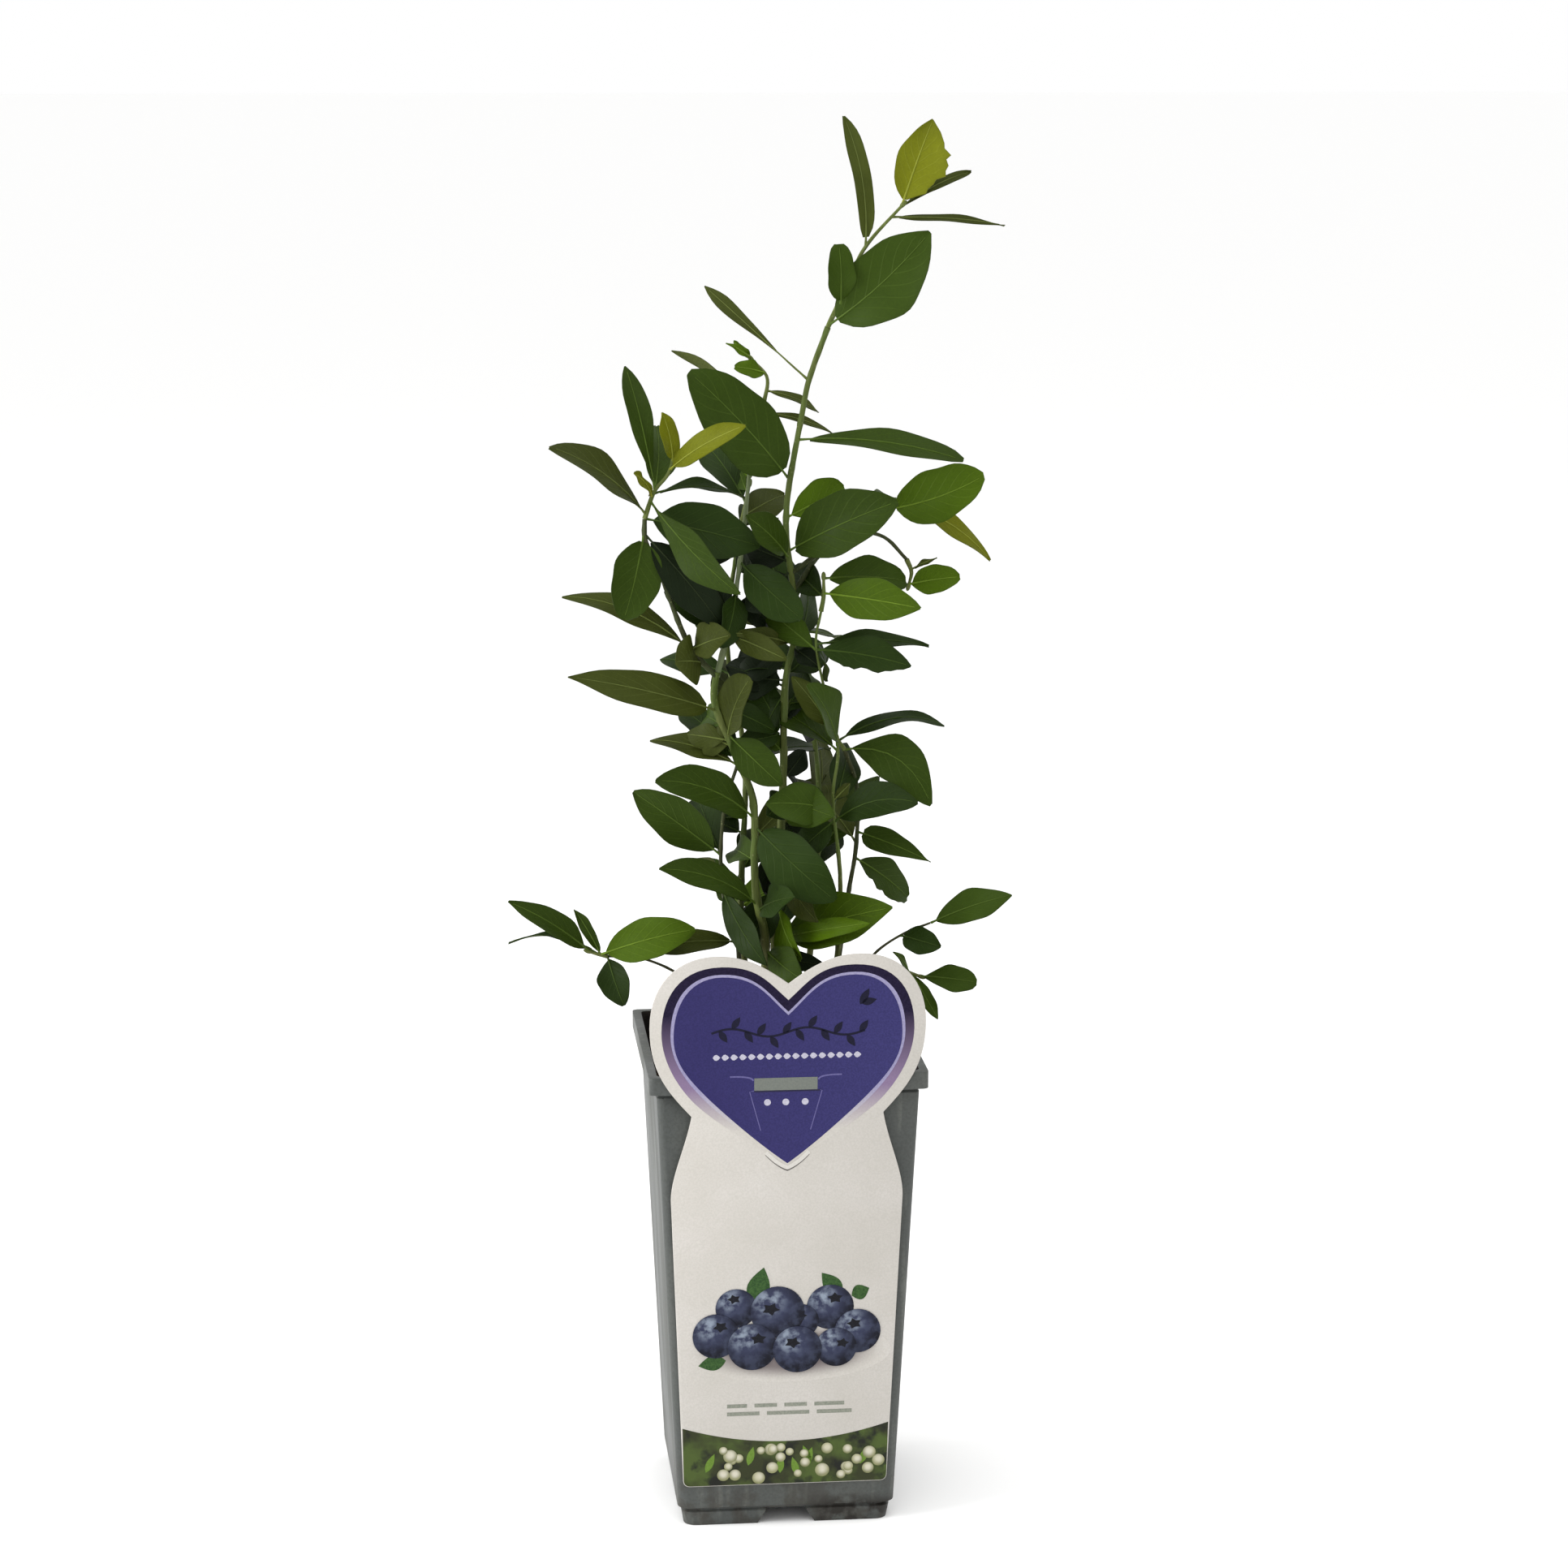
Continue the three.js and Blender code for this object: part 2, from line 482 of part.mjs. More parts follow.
// Each mass is a spray of leaves on a limb between two heights, or on a twig past a limb's tip.
// A leaf row: where it sits (height on a limb, share of a twig), tip's offset from there (x, y, z),
// width, and face: 0 shows its upper side to the front, 90 to the sky, 180 to the back.
// Two more numbers, where given, are how far the blade arches and how far its midrib swings
// to its right hand, both as shares of its length.
// rear adds that many leaves towards the back by the golden-angle rule.
const MASSES = {
  foliage_top: {
    twig: [[20, -4, 477.5], [27, -6, 493], [34, -8, 508], [48, -10, 524]],
    leaves: [
      [0.04, 39, -24, 37, 33, 12, 0.06, -0.05], [0.32, -2, -12, 17, 17, 150], [0.62, -7, 14, 49, 12, 35, 0.06, -0.1],
      [0.9, 47, 14, -4, 9, 72], [1, 13, 8, 33, 25, 15], [0.97, 29, 12, 14, 6, 50],
    ],
    rear: 0,
  },
  foliage_main_upper: {
    limb: 'stem_main', from: 412, to: 458,
    leaves: [
      [457, -38, 16, 36, 8, 50, 0.06, -0.08], [432, 60, -22, -4, 14, 58], [417, -39, -26, 43, 31, 8],
    ],
    rear: 0,
  },
  foliage_left_inner: {
    twig: [[-9, 4, 432.5], [-4, 5, 448], [-3, 5, 457], [-9, 4, 464]],
    leaves: [
      [1, -10, -2, 9, 4, 30], [0.98, -8, 3, 12, 4, 30], [0.8, -13, -5, 4, 8, 20],
      [0.25, -32, 14, 29, 13, 150], [0.6, 20, 9, -9, 6, 65], [0.35, 25, 10, -6, 7, 65],
    ],
    rear: 1,
  },
  foliage_left_tip: {
    twig: [[-52, -5, 403.5], [-48, -5, 414], [-43, -5, 420], [-41, -5, 425]],
    leaves: [
      [0.5, -10, 12, 46, 13, 30], [1, -4, -6, 20, 9, 35], [0.9, 28, -16, 15, 13, 25],
      [0.45, -10, -9, 4, 8, 40], [0.05, -36, -20, 29, 14, 42, 0.06, 0.04], [0.4, 32, 12, 2, 9, 75],
      [0.3, 30, -22, -35, 18, 165],
    ],
    rear: 1,
  },
  foliage_left_centre: {
    limb: 'bough_left_outer', from: 378, to: 401,
    leaves: [
      [400, 38, 14, 3, 20, 50], [396, 47, -4, -25, 24, 38], [391, -8, -12, -27, 21, 10, 0.06, 0.16],
    ],
    rear: 1,
  },
  foliage_left_shoulder: {
    limb: 'bough_left_outer', from: 346, to: 358,
    leaves: [
      [352, -49, 18, 20, 15, 48, 0.06, 0.06], [348, -16, -10, -3, 12, 30],
    ],
    rear: 1,
  },
  foliage_inner_low: {
    limb: 'bough_left_inner', from: 352, to: 388,
    leaves: [
      [385, 25, -20, -19, 22, 20], [357, 25, -18, -19, 18, 45],
    ],
    rear: 2,
  },
  foliage_main_centre: {
    limb: 'stem_main', from: 372, to: 406,
    leaves: [
      [389, 40, -24, 19, 27, 12], [403, 25, 14, 9, 16, 35],
    ],
    rear: 1,
  },
  foliage_right_upper: {
    twig: [[42.4, 7, 402.2], [47, 6, 405], [50, 6, 407]],
    leaves: [
      [0.5, 34, -14, 13, 21, 18], [1, 38, 12, -24, 9, 40, 0.06, -0.12],
    ],
    rear: 1,
  },
  foliage_right_bright: {
    twig: [[52.3, 0, 384.6], [54, 0, 380], [53, 0, 375]],
    leaves: [
      [1, 20, -8, 3, 12, 20], [0.4, 11, -2, 6, 3, 30],
    ],
    rear: 0,
  },
  foliage_right_mid: {
    twig: [[17, -9, 366.5], [18, -9, 372], [18, -9, 379]],
    leaves: [
      [0.4, 36, -22, -4, 17, 20], [0.95, 32, 10, 2, 13, 42],
    ],
    rear: 1,
  },
  foliage_right_ragged: {
    limb: 'stem_right', from: 342, to: 360,
    leaves: [
      [352, 44, 14, -5, 10, 55], [349, 34, -16, -9, 13, 40],
    ],
    rear: 1,
  },
  foliage_right_centre: {
    limb: 'stem_right', from: 276, to: 322,
    leaves: [
      [312, -13, -12, 24, 20, 28], [282, 33, -18, 9, 15, 38], [303, -8, -5, 24, 15, 40],
    ],
    rear: 2,
  },
  foliage_right_arched: {
    twig: [[28, 4, 308.5], [26, 4, 311], [25, 4, 313]],
    leaves: [
      [0.7, 43, 10, 6, 11, 68, 0.12], [0.1, 33, -20, -21, 24, 35, 0.32, -0.06],
    ],
    rear: 0,
  },
  foliage_right_low: {
    limb: 'stem_right_thin', from: 258, to: 282,
    leaves: [
      [275, 26, -16, -8, 13, 40], [262, 23, 10, -15, 14, 25],
    ],
    rear: 1,
  },
  foliage_left_mid: {
    limb: 'stem_left', from: 300, to: 328,
    leaves: [
      [326, -57, -24, 20, 16, 42, 0.06, 0.05], [317, 3, -12, 22, 18, 20], [314, -18, 10, 4, 8, 45],
      [305, -34, 14, 10, 10, 62],
    ],
    rear: 2,
  },
  foliage_main_mid: {
    limb: 'stem_main', from: 320, to: 348,
    leaves: [
      [327, -6, 14, 16, 15, 30], [323, 10, 18, 14, 14, 40], [340, 16, 18, 10, 16, 50],
    ],
    rear: 2,
  },
  foliage_centre_low: {
    limb: 'stem_main', from: 243, to: 292,
    leaves: [
      [289, 20, -20, -5, 17, 32], [276, 17, -26, -27, 22, 12], [264, 12, 8, -17, 16, 30],
      [249, 6, -22, -22, 15, 10],
    ],
    rear: 1,
  },
  foliage_left_low: {
    limb: 'stem_left', from: 243, to: 287,
    leaves: [
      [283, -36, -20, 19, 15, 38, 0.06, 0.08], [249, -36, -24, 19, 14, 40], [247, 16, -10, 6, 12, 40],
    ],
    rear: 1,
  },
  foliage_left_thin: {
    limb: 'stem_left_thin', from: 248, to: 270,
    leaves: [
      [266, -33, 12, 24, 19, 25], [251, 12, 4, -19, 11, 30],
    ],
    rear: 2,
  },
  foliage_base_left: {
    limb: 'stem_left_thin', from: 222, to: 238,
    leaves: [
      [231, -42, -16, -2, 13, 55], [234, 15, -24, -18, 14, 30],
    ],
    rear: 1,
  },
  foliage_base_centre: {
    limb: 'stem_main', from: 222, to: 238,
    leaves: [
      [231, 40, -26, 18, 21, 22],
    ],
    rear: 2,
  },
  foliage_low_left: {
    twig: [[-68.4, -3, 227], [-72, -3, 228], [-75, -3, 229]],
    leaves: [
      [1, -32, -6, 22, 12, 38], [0.6, -35, 2, 6, 4, 78, 0.14], [0.5, -9, 4, 16, 6, 40],
      [0.3, 37, -9, 12, 16, 33], [0.1, 7, -6, -22, 13, 20],
    ],
    rear: 0,
  },
  foliage_low_right: {
    twig: [[62.4, -4, 238.1], [65, -4, 239.5]],
    leaves: [
      [1, 30, -4, 11, 12, 40], [0.1, 5, -8, -14, 11, 30],
    ],
    rear: 0,
  },
  foliage_low_right_rear: {
    twig: [[54.4, 12, 214], [60, 12, 212]],
    leaves: [
      [1, 23, -4, -2, 12, 35], [0.5, 7, -5, -15, 6, 30], [0.2, -9, -8, 8, 7, 30],
    ],
    rear: 0,
  },
  foliage_low_back: {
    twig: [[-8.3, 58.5, 230.2], [-10, 62, 232]],
    leaves: [
      [1, -18, 24, 12, 15, 60], [0.6, 22, 18, 6, 16, 60], [0.2, 12, 8, -16, 13, 60], [0.9, -30, 0, 4, 13, 60],
    ],
    rear: 0,
  },
  foliage_back_left_low: {
    limb: 'stem_back_left', from: 238, to: 280, leaves: [], rear: 4,
  },
  foliage_back_left_mid: {
    limb: 'stem_back_left', from: 296, to: 346, leaves: [], rear: 5,
  },
  foliage_back_left_top: {
    twig: [[-12, 28, 392.5], [-10, 28, 402], [-8, 27, 412]],
    leaves: [
      [1, 4, 8, 34, 15, 40],
    ],
    rear: 4,
  },
  foliage_back_right_low: {
    limb: 'stem_back_right', from: 246, to: 284, leaves: [], rear: 4,
  },
  foliage_back_right_top: {
    twig: [[14, 30, 340.5], [12, 30, 350], [10, 30, 360]],
    leaves: [],
    rear: 4,
  },
};

const FRONT = new THREE.Vector3(0, -1, 0);
const SKY = new THREE.Vector3(0, 0, 1);

// The direction that a blade's upper side faces, for a blade along the given axis.
function bladeNormal(axis, face) {
  let towardsSky = SKY.clone().addScaledVector(axis, -axis.z);
  let towardsFront = new THREE.Vector3().crossVectors(axis, towardsSky).normalize();
  if (Math.abs(axis.z) > 0.9) {
    towardsFront = FRONT.clone().addScaledVector(axis, -FRONT.dot(axis)).normalize();
    towardsSky = new THREE.Vector3().crossVectors(axis, towardsFront);
    if (towardsSky.x * axis.x > 0) {
      towardsSky.negate();
    }
  }
  towardsSky.normalize();
  if (towardsFront.dot(FRONT) < 0) {
    towardsFront.negate();
  }
  const angle = THREE.MathUtils.degToRad(face);
  return towardsFront.multiplyScalar(Math.cos(angle)).addScaledVector(towardsSky, Math.sin(angle));
}

// One leaf as a slim solid: flat above with a keel below, swelling and narrowing to a pointed tip.
// Each station is a share of the length, and the share of the half width that it has.
const BLADE_STATIONS = [[0, 0], [0.14, 0.34], [0.42, 1], [0.78, 0.66], [1, 0.03]];

function blade(base, offset, width, face, arch, sweep, grow) {
  const length = offset.length();
  const axis = offset.clone().normalize();
  const normal = bladeNormal(axis, face);
  const side = new THREE.Vector3().crossVectors(axis, normal);
  const rings = [];
  for (const [share, swell] of BLADE_STATIONS) {
    const reach = share * (length + grow) - (share === 0 ? grow : 0);
    const centre = base.clone().addScaledVector(axis, reach);
    centre.addScaledVector(normal, 4 * arch * length * share * (1 - share));
    centre.addScaledVector(side, 4 * sweep * length * share * (1 - share));
    const half = Math.max(PETIOLE_HALF_WIDTH, swell * width / 2) * (share === 1 ? 0.3 : 1) + grow;
    const keel = BLADE_THICKNESS * (share === 1 ? 0.4 : 1) + grow;
    const corner = (across, up) => centre.clone().addScaledVector(side, across).addScaledVector(normal, up);
    const ring = [corner(half, grow), corner(-half, grow)];
    if (grow > 0) {
      ring.push(corner(-half, -grow), corner(0, -keel), corner(half, -grow));
    } else {
      ring.push(corner(0, -keel));
    }
    rings.push(ring);
  }
  return toManifold(loft(rings));
}

function shareAtHeight(curve, height) {
  let low = 0;
  let high = 1;
  for (let i = 0; i < 30; i += 1) {
    const middle = (low + high) / 2;
    if (curve.getPointAt(middle).z < height) {
      low = middle;
    } else {
      high = middle;
    }
  }
  return low;
}

// Leaves towards the back: heading, length and rise follow from the leaf's turn in the spiral,
// and those of an outer mass are turned in over the middle of the plant.
function rearRows(mass, seed) {
  const rows = [];
  const middleX = mass.limb ? LIMBS[mass.limb].curve.getPointAt(0.5).x : mass.twig[0][0];
  for (let i = 0; i < mass.rear; i += 1) {
    const spot = (i + 0.5) / mass.rear;
    const at = mass.limb ? mass.from + (mass.to - mass.from) * spot : spot;
    const turn = ((i * GOLDEN_ANGLE + seed * SEED_ANGLE) % 180) - 90;
    const heading = THREE.MathUtils.degToRad(90 + turn * REAR_SPREAD + middleX * REAR_TURN_IN);
    const reach = REAR_REACH[0] + REAR_REACH[1] * Math.sin(i * 2.3 + seed);
    const rise = REAR_RISE[0] + REAR_RISE[1] * Math.sin(i * 1.7 + seed * 0.6);
    const width = REAR_WIDTH[0] + REAR_WIDTH[1] * Math.sin(i * 3.1 + seed);
    const face = REAR_FACE[0] + REAR_FACE[1] * Math.sin(i * 2.9 + seed);
    rows.push([at, reach * Math.cos(heading), reach * Math.sin(heading), rise, width, face]);
  }
  return rows;
}

function massSolid(mass, seed, grow) {
  const solids = [];
  let pointFor;
  if (mass.limb) {
    const limb = LIMBS[mass.limb];
    const low = shareAtHeight(limb.curve, mass.from);
    const high = shareAtHeight(limb.curve, mass.to);
    const places = [];
    for (let i = 0; i <= 4; i += 1) {
      places.push(limb.curve.getPointAt(low + (high - low) * i / 4));
    }
    const sleeve = new THREE.CatmullRomCurve3(places, false, 'centripetal');
    const radiusAt = (share) => limbRadius(limb, low + (high - low) * share) + SLEEVE_WALL;
    solids.push(tube(sleeve, radiusAt, LIMB_SIDES, LIMB_STEP, false, grow));
    pointFor = (at, offset) => {
      const share = shareAtHeight(limb.curve, at);
      const along = limb.curve.getTangentAt(share);
      const outwards = offset.clone().addScaledVector(along, -offset.dot(along)).normalize();
      return limb.curve.getPointAt(share).addScaledVector(outwards, limbRadius(limb, share) + PETIOLE_SEAT);
    };
  } else {
    const points = mass.twig.map((place) => new THREE.Vector3(...place));
    const twig = new THREE.CatmullRomCurve3(points, false, 'centripetal');
    const [thick, thin] = TWIG_RADII;
    solids.push(tube(twig, (share) => thick + (thin - thick) * share, TWIG_SIDES, TWIG_STEP, false, grow));
    pointFor = (at) => twig.getPointAt(at);
  }
  for (const row of [...mass.leaves, ...rearRows(mass, seed)]) {
    const [at, dx, dy, dz, width, face, arch = BLADE_ARCH, sweep = 0] = row;
    const offset = new THREE.Vector3(dx, dy, dz);
    solids.push(blade(pointFor(at, offset), offset, width, face, arch, sweep, grow));
  }
  return joined(solids);
}

const limbsGrown = joined(Object.values(LIMBS).map((limb) => limb.grown));
const foliage = [];
Object.entries(MASSES).forEach(([name, mass], seed) => {
  let solid = massSolid(mass, seed, 0).asOriginal().simplify(SPRAY_TOLERANCE).subtract(limbsGrown);
  for (const earlier of foliage) {
    solid = solid.subtract(earlier.grown);
  }
  solid = largestBody(solid.asOriginal().simplify(SLIVER_TOLERANCE));
  foliage.push({ name, solid, grown: massSolid(mass, seed, SPRAY_GAP) });
});

// ---------------------------------------------------------------- the whole

addPart('pot', makePot(), POT_PLASTIC);
addPart('soil', makeSoil(), SOIL);
addPart('label', makeLabel(), CARD);
for (const [name, limb] of Object.entries(LIMBS)) {
  addPart(name, limb.solid, GREEN_BARK);
}
for (const mass of foliage) {
  addPart(mass.name, mass.solid, LEAF);
}

// The origin goes to the middle of the whole model's footprint, at the pot's foot.
const whole = new THREE.Box3().setFromObject(group, true);
const middle = whole.getCenter(new THREE.Vector3());
group.position.set(-middle.x, -middle.y, -whole.min.z);

export default group;
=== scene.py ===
"""Young blueberry bush in a square nursery pot with a label on its rim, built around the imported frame.

Lengths in the tables below are millimetres from the middle of the pot's foot, +Z up, front at -Y.
"""

import math
import random
from types import SimpleNamespace

import bmesh
import bpy
from mathutils import Matrix, Vector, noise


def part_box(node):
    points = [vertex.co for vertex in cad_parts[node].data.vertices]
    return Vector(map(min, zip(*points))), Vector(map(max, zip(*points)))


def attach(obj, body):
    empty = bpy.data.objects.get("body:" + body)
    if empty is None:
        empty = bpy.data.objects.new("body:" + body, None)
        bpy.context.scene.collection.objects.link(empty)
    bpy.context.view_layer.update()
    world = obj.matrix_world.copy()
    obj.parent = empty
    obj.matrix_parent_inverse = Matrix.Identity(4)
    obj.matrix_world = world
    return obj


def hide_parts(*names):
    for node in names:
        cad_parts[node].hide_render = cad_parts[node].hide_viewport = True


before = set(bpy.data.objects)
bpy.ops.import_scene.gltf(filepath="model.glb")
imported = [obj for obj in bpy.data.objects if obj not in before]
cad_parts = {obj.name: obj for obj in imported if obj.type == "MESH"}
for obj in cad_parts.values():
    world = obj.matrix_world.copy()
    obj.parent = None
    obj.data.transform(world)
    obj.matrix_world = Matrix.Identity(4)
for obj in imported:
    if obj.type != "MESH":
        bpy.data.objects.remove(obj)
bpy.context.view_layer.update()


# ---------------------------------------------------------------- camera and studio
# A long lens a metre and a half away looks a little down on the pot's labelled front from its left.
# The floor is plain and pale, a white sky lights everything evenly, and a soft panel on the left
# and a weaker one overhead give the leaves and the pot's side their brighter faces.

MM = 0.001
pot_low, pot_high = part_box("pot")
POT_FOOT = Vector(((pot_low.x + pot_high.x) / 2, (pot_low.y + pot_high.y) / 2, 0))

CAMERA_PLACE = (-143.7, -1493.1, 588.0)
CAMERA_PITCH = 11.04
CAMERA_TURN = 5.62
CAMERA_LENS = 87.9
FLOOR_HALF = 40.0
FLOOR_COLOUR = (0.985, 0.985, 0.98, 1)
SKY_STRENGTH = 1.0
# Each panel: where it hangs, where it points, its side in metres and its power in watts.
PANELS = {
    "panel_left": ((-1700, -350, 900), (0, 0, 240), 1.1, 30),
    "panel_above": ((200, -900, 2100), (0, 0, 300), 1.4, 14),
}


def spot(x, y, z):
    """A place given in millimetres from the middle of the pot's foot, in the frame's metres."""
    return POT_FOOT + Vector((x, y, z)) * MM


def paint(red, green, blue):
    """A screen colour as the linear colour that a material holds."""
    linear = []
    for part in (red, green, blue):
        value = part / 255
        linear.append(value / 12.92 if value <= 0.04045 else ((value + 0.055) / 1.055) ** 2.4)
    return (*linear, 1.0)


scene = bpy.context.scene
scene.view_settings.view_transform = "Standard"

lens = bpy.data.cameras.new("camera")
lens.lens = CAMERA_LENS
lens.sensor_width = 36.0
lens.clip_start = 0.05
lens.clip_end = 120.0
camera = bpy.data.objects.new("camera", lens)
camera.location = spot(*CAMERA_PLACE)
camera.rotation_euler = (math.radians(90 - CAMERA_PITCH), 0, math.radians(-CAMERA_TURN))
scene.collection.objects.link(camera)
scene.camera = camera

sky = bpy.data.worlds.new("sky")
sky.use_nodes = True
sky.node_tree.nodes["Background"].inputs["Color"].default_value = (1, 1, 1, 1)
sky.node_tree.nodes["Background"].inputs["Strength"].default_value = SKY_STRENGTH
scene.world = sky

for name, (place, aim, side, power) in PANELS.items():
    panel = bpy.data.lights.new(name, "AREA")
    panel.shape = "SQUARE"
    panel.size = side
    panel.energy = power
    holder = bpy.data.objects.new(name, panel)
    holder.location = spot(*place)
    holder.rotation_euler = (spot(*aim) - spot(*place)).to_track_quat("-Z", "Y").to_euler()
    scene.collection.objects.link(holder)

floor_bm = bmesh.new()
bmesh.ops.create_grid(floor_bm, x_segments=1, y_segments=1, size=FLOOR_HALF)
floor_mesh = bpy.data.meshes.new("floor")
floor_bm.to_mesh(floor_mesh)
floor_bm.free()
floor = bpy.data.objects.new("floor", floor_mesh)
scene.collection.objects.link(floor)
floor_paint = bpy.data.materials.new("pale_floor")
floor_paint.use_nodes = True
floor_shader = floor_paint.node_tree.nodes["Principled BSDF"]
floor_shader.inputs["Base Color"].default_value = FLOOR_COLOUR
floor_shader.inputs["Roughness"].default_value = 0.9
floor_shader.inputs["Specular IOR Level"].default_value = 0.1
floor.data.materials.append(floor_paint)


# ---------------------------------------------------------------- pot
# An injection-moulded square pot of grey plastic: thin tapering walls with rounded corners, a rolled
# flange round the top, and a stepped foot ring with a notch in each side and drain holes in its floor.
# It is scuffed and dusty, and damp soil has dried on the foot.

# A half width runs from the pot's middle to a face. The wall has rows of points at its courses and
# ends a little below the band; the steps at band and foot are eased, with a groove in each.
POT_HEIGHT = 190
RIM_HALF = 55
RIM_BAND = 7
BAND_FOOT = POT_HEIGHT - RIM_BAND
BAND_STEP = 0.2
RIM_LIP = 3.4
WALL_TOP_HALF = 51.9
WALL_FOOT_HALF = 43.7
WALL = 1.5
WALL_COURSES = (60, 120)
WALL_END = 2
FOOT_HALF = 42.1
FOOT_INNER_HALF = 39.1
FOOT_HEIGHT = 7
FLOOR_UNDERSIDE = 5.5
FLOOR_TOP = 7.5
FOOT_TAPER = 1
CORNER_AT_RIM = 2.4
CORNER_AT_FOOT = 5
CORNER_SEGMENTS = 6
GROOVE = 0.9
GROOVE_HALF = 0.4
STEP_EASE = 1.2
NOTCH_HALF_BELOW = 11.5
NOTCH_HALF_ABOVE = 7.5
NOTCH_HEIGHT = 6.8
NOTCH_BELOW = 2
NOTCH_SLOPE = (NOTCH_HALF_BELOW - NOTCH_HALF_ABOVE) / NOTCH_HEIGHT
NOTCH_INNER = 38.9
NOTCH_OUTER = 46
DRAINS = [(0, 0), (24, 24), (24, -24), (-24, 24), (-24, -24)]
DRAIN_RADIUS = 4
DRAIN_SIDES = 24
DRAIN_CUT = 12
POT_EDGE_ROUND = 0.45
SHARP_ANGLE = math.radians(38)
ROUNDED_ANGLE = math.radians(50)


def wall_half(z):
    """Half the width across the pot's outer wall at a height."""
    share = (z - FOOT_HEIGHT) / (BAND_FOOT - FOOT_HEIGHT)
    return WALL_FOOT_HALF + (WALL_TOP_HALF - WALL_FOOT_HALF) * share


def corner_at(z):
    """The pot's corner radius, crisp at the rim and rounder towards the foot."""
    return CORNER_AT_FOOT + (CORNER_AT_RIM - CORNER_AT_FOOT) * z / POT_HEIGHT


def square_stack(bm, stations):
    """A closed body of rounded squares, one above or inside the next. Each station is (half, height)."""
    first_half, first_height = stations[0]
    corner = corner_at(first_height)
    made = bmesh.ops.create_grid(bm, x_segments=1, y_segments=1, size=first_half * MM)
    bmesh.ops.bevel(
        bm, geom=made["verts"], offset=corner * MM, segments=CORNER_SEGMENTS, profile=0.5,
        affect="VERTICES", material=-1,
    )
    nook = (first_half - corner) * MM
    # Which corner each point is at, and its place round that corner for a corner radius of 1
    local = {}
    for vert in {vert for face in bm.faces for vert in face.verts}:
        x, y = vert.co.x, vert.co.y
        side_x, side_y = math.copysign(1, x), math.copysign(1, y)
        local[vert] = (side_x, side_y, (x - side_x * nook) / corner, (y - side_y * nook) / corner)
        vert.co = POT_FOOT + Vector((x, y, first_height * MM))
    edges = [edge for edge in bm.edges if edge.verts[0] in local and edge.verts[1] in local]
    for half, height in stations[1:]:
        corner = corner_at(height)
        grown = bmesh.ops.extrude_edge_only(bm, edges=edges)["geom"]
        fresh = {item for item in grown if isinstance(item, bmesh.types.BMVert)}
        edges = [e for e in grown if isinstance(e, bmesh.types.BMEdge) and set(e.verts) <= fresh]
        nook = (half - corner) * MM
        renewed = {}
        for vert in fresh:
            root = next(e.other_vert(vert) for e in vert.link_edges if e.other_vert(vert) in local)
            renewed[vert] = side_x, side_y, dx, dy = local[root]
            x, y = side_x * nook + dx * corner, side_y * nook + dy * corner
            vert.co = POT_FOOT + Vector((x, y, height * MM))
        local = renewed
    bmesh.ops.contextual_create(bm, geom=edges)
    bmesh.ops.recalc_face_normals(bm, faces=bm.faces)


def shade(mesh):
    """Smooth shading, but for the sharper edges."""
    for polygon in mesh.polygons:
        polygon.use_smooth = True
    mesh.set_sharp_from_angle(angle=SHARP_ANGLE)


def to_object(name, bm, *materials):
    """A mesh object at the origin with its materials."""
    mesh = bpy.data.meshes.new(name)
    bm.to_mesh(mesh)
    bm.free()
    shade(mesh)
    made = bpy.data.objects.new(name, mesh)
    scene.collection.objects.link(made)
    for material in materials:
        made.data.materials.append(material)
    return made


def apply_modifiers(made):
    """The object keeps the mesh that its modifiers give, and loses the modifiers."""
    bpy.context.view_layer.update()
    shaped = made.evaluated_get(bpy.context.evaluated_depsgraph_get())
    finished = bpy.data.meshes.new_from_object(shaped)
    finished.name = made.name
    made.modifiers.clear()
    made.data = finished
    shade(finished)


def round_edges(made, radius):
    """The object's crisp edges rounded off, by a radius in millimetres."""
    rounding = made.modifiers.new("edges", "BEVEL")
    rounding.width = radius * MM
    rounding.segments = 2
    rounding.limit_method = "ANGLE"
    rounding.angle_limit = ROUNDED_ANGLE
    apply_modifiers(made)


def node_group(name, numbers, outputs):
    """A shader group with float inputs of the given values and the named outputs."""
    group = bpy.data.node_groups.new(name, "ShaderNodeTree")
    for label, value in numbers.items():
        socket = group.interface.new_socket(name=label, in_out="INPUT", socket_type="NodeSocketFloat")
        socket.default_value = value
    for label in outputs:
        group.interface.new_socket(name=label, in_out="OUTPUT", socket_type="NodeSocketFloat")
    return group, group.nodes.new("NodeGroupInput"), group.nodes.new("NodeGroupOutput")


# Soft patches of noise between 0 and 1, stretched along Z by Stretch.
mottle, mottle_in, mottle_out = node_group(
    "mottle", {"Scale": 60.0, "Detail": 4.0, "Stretch": 1.0, "Low": 0.35, "High": 0.65}, ["Mask"],
)
place_node = mottle.nodes.new("ShaderNodeTexCoord")
squeeze = mottle.nodes.new("ShaderNodeCombineXYZ")
squeeze.inputs["X"].default_value = 1
squeeze.inputs["Y"].default_value = 1
stretched = mottle.nodes.new("ShaderNodeVectorMath")
stretched.operation = "MULTIPLY"
clouds = mottle.nodes.new("ShaderNodeTexNoise")
spread = mottle.nodes.new("ShaderNodeMapRange")
mottle.links.new(mottle_in.outputs["Stretch"], squeeze.inputs["Z"])
mottle.links.new(place_node.outputs["Object"], stretched.inputs[0])
mottle.links.new(squeeze.outputs["Vector"], stretched.inputs[1])
mottle.links.new(stretched.outputs["Vector"], clouds.inputs["Vector"])
mottle.links.new(mottle_in.outputs["Scale"], clouds.inputs["Scale"])
mottle.links.new(mottle_in.outputs["Detail"], clouds.inputs["Detail"])
mottle.links.new(clouds.outputs["Fac"], spread.inputs["Value"])
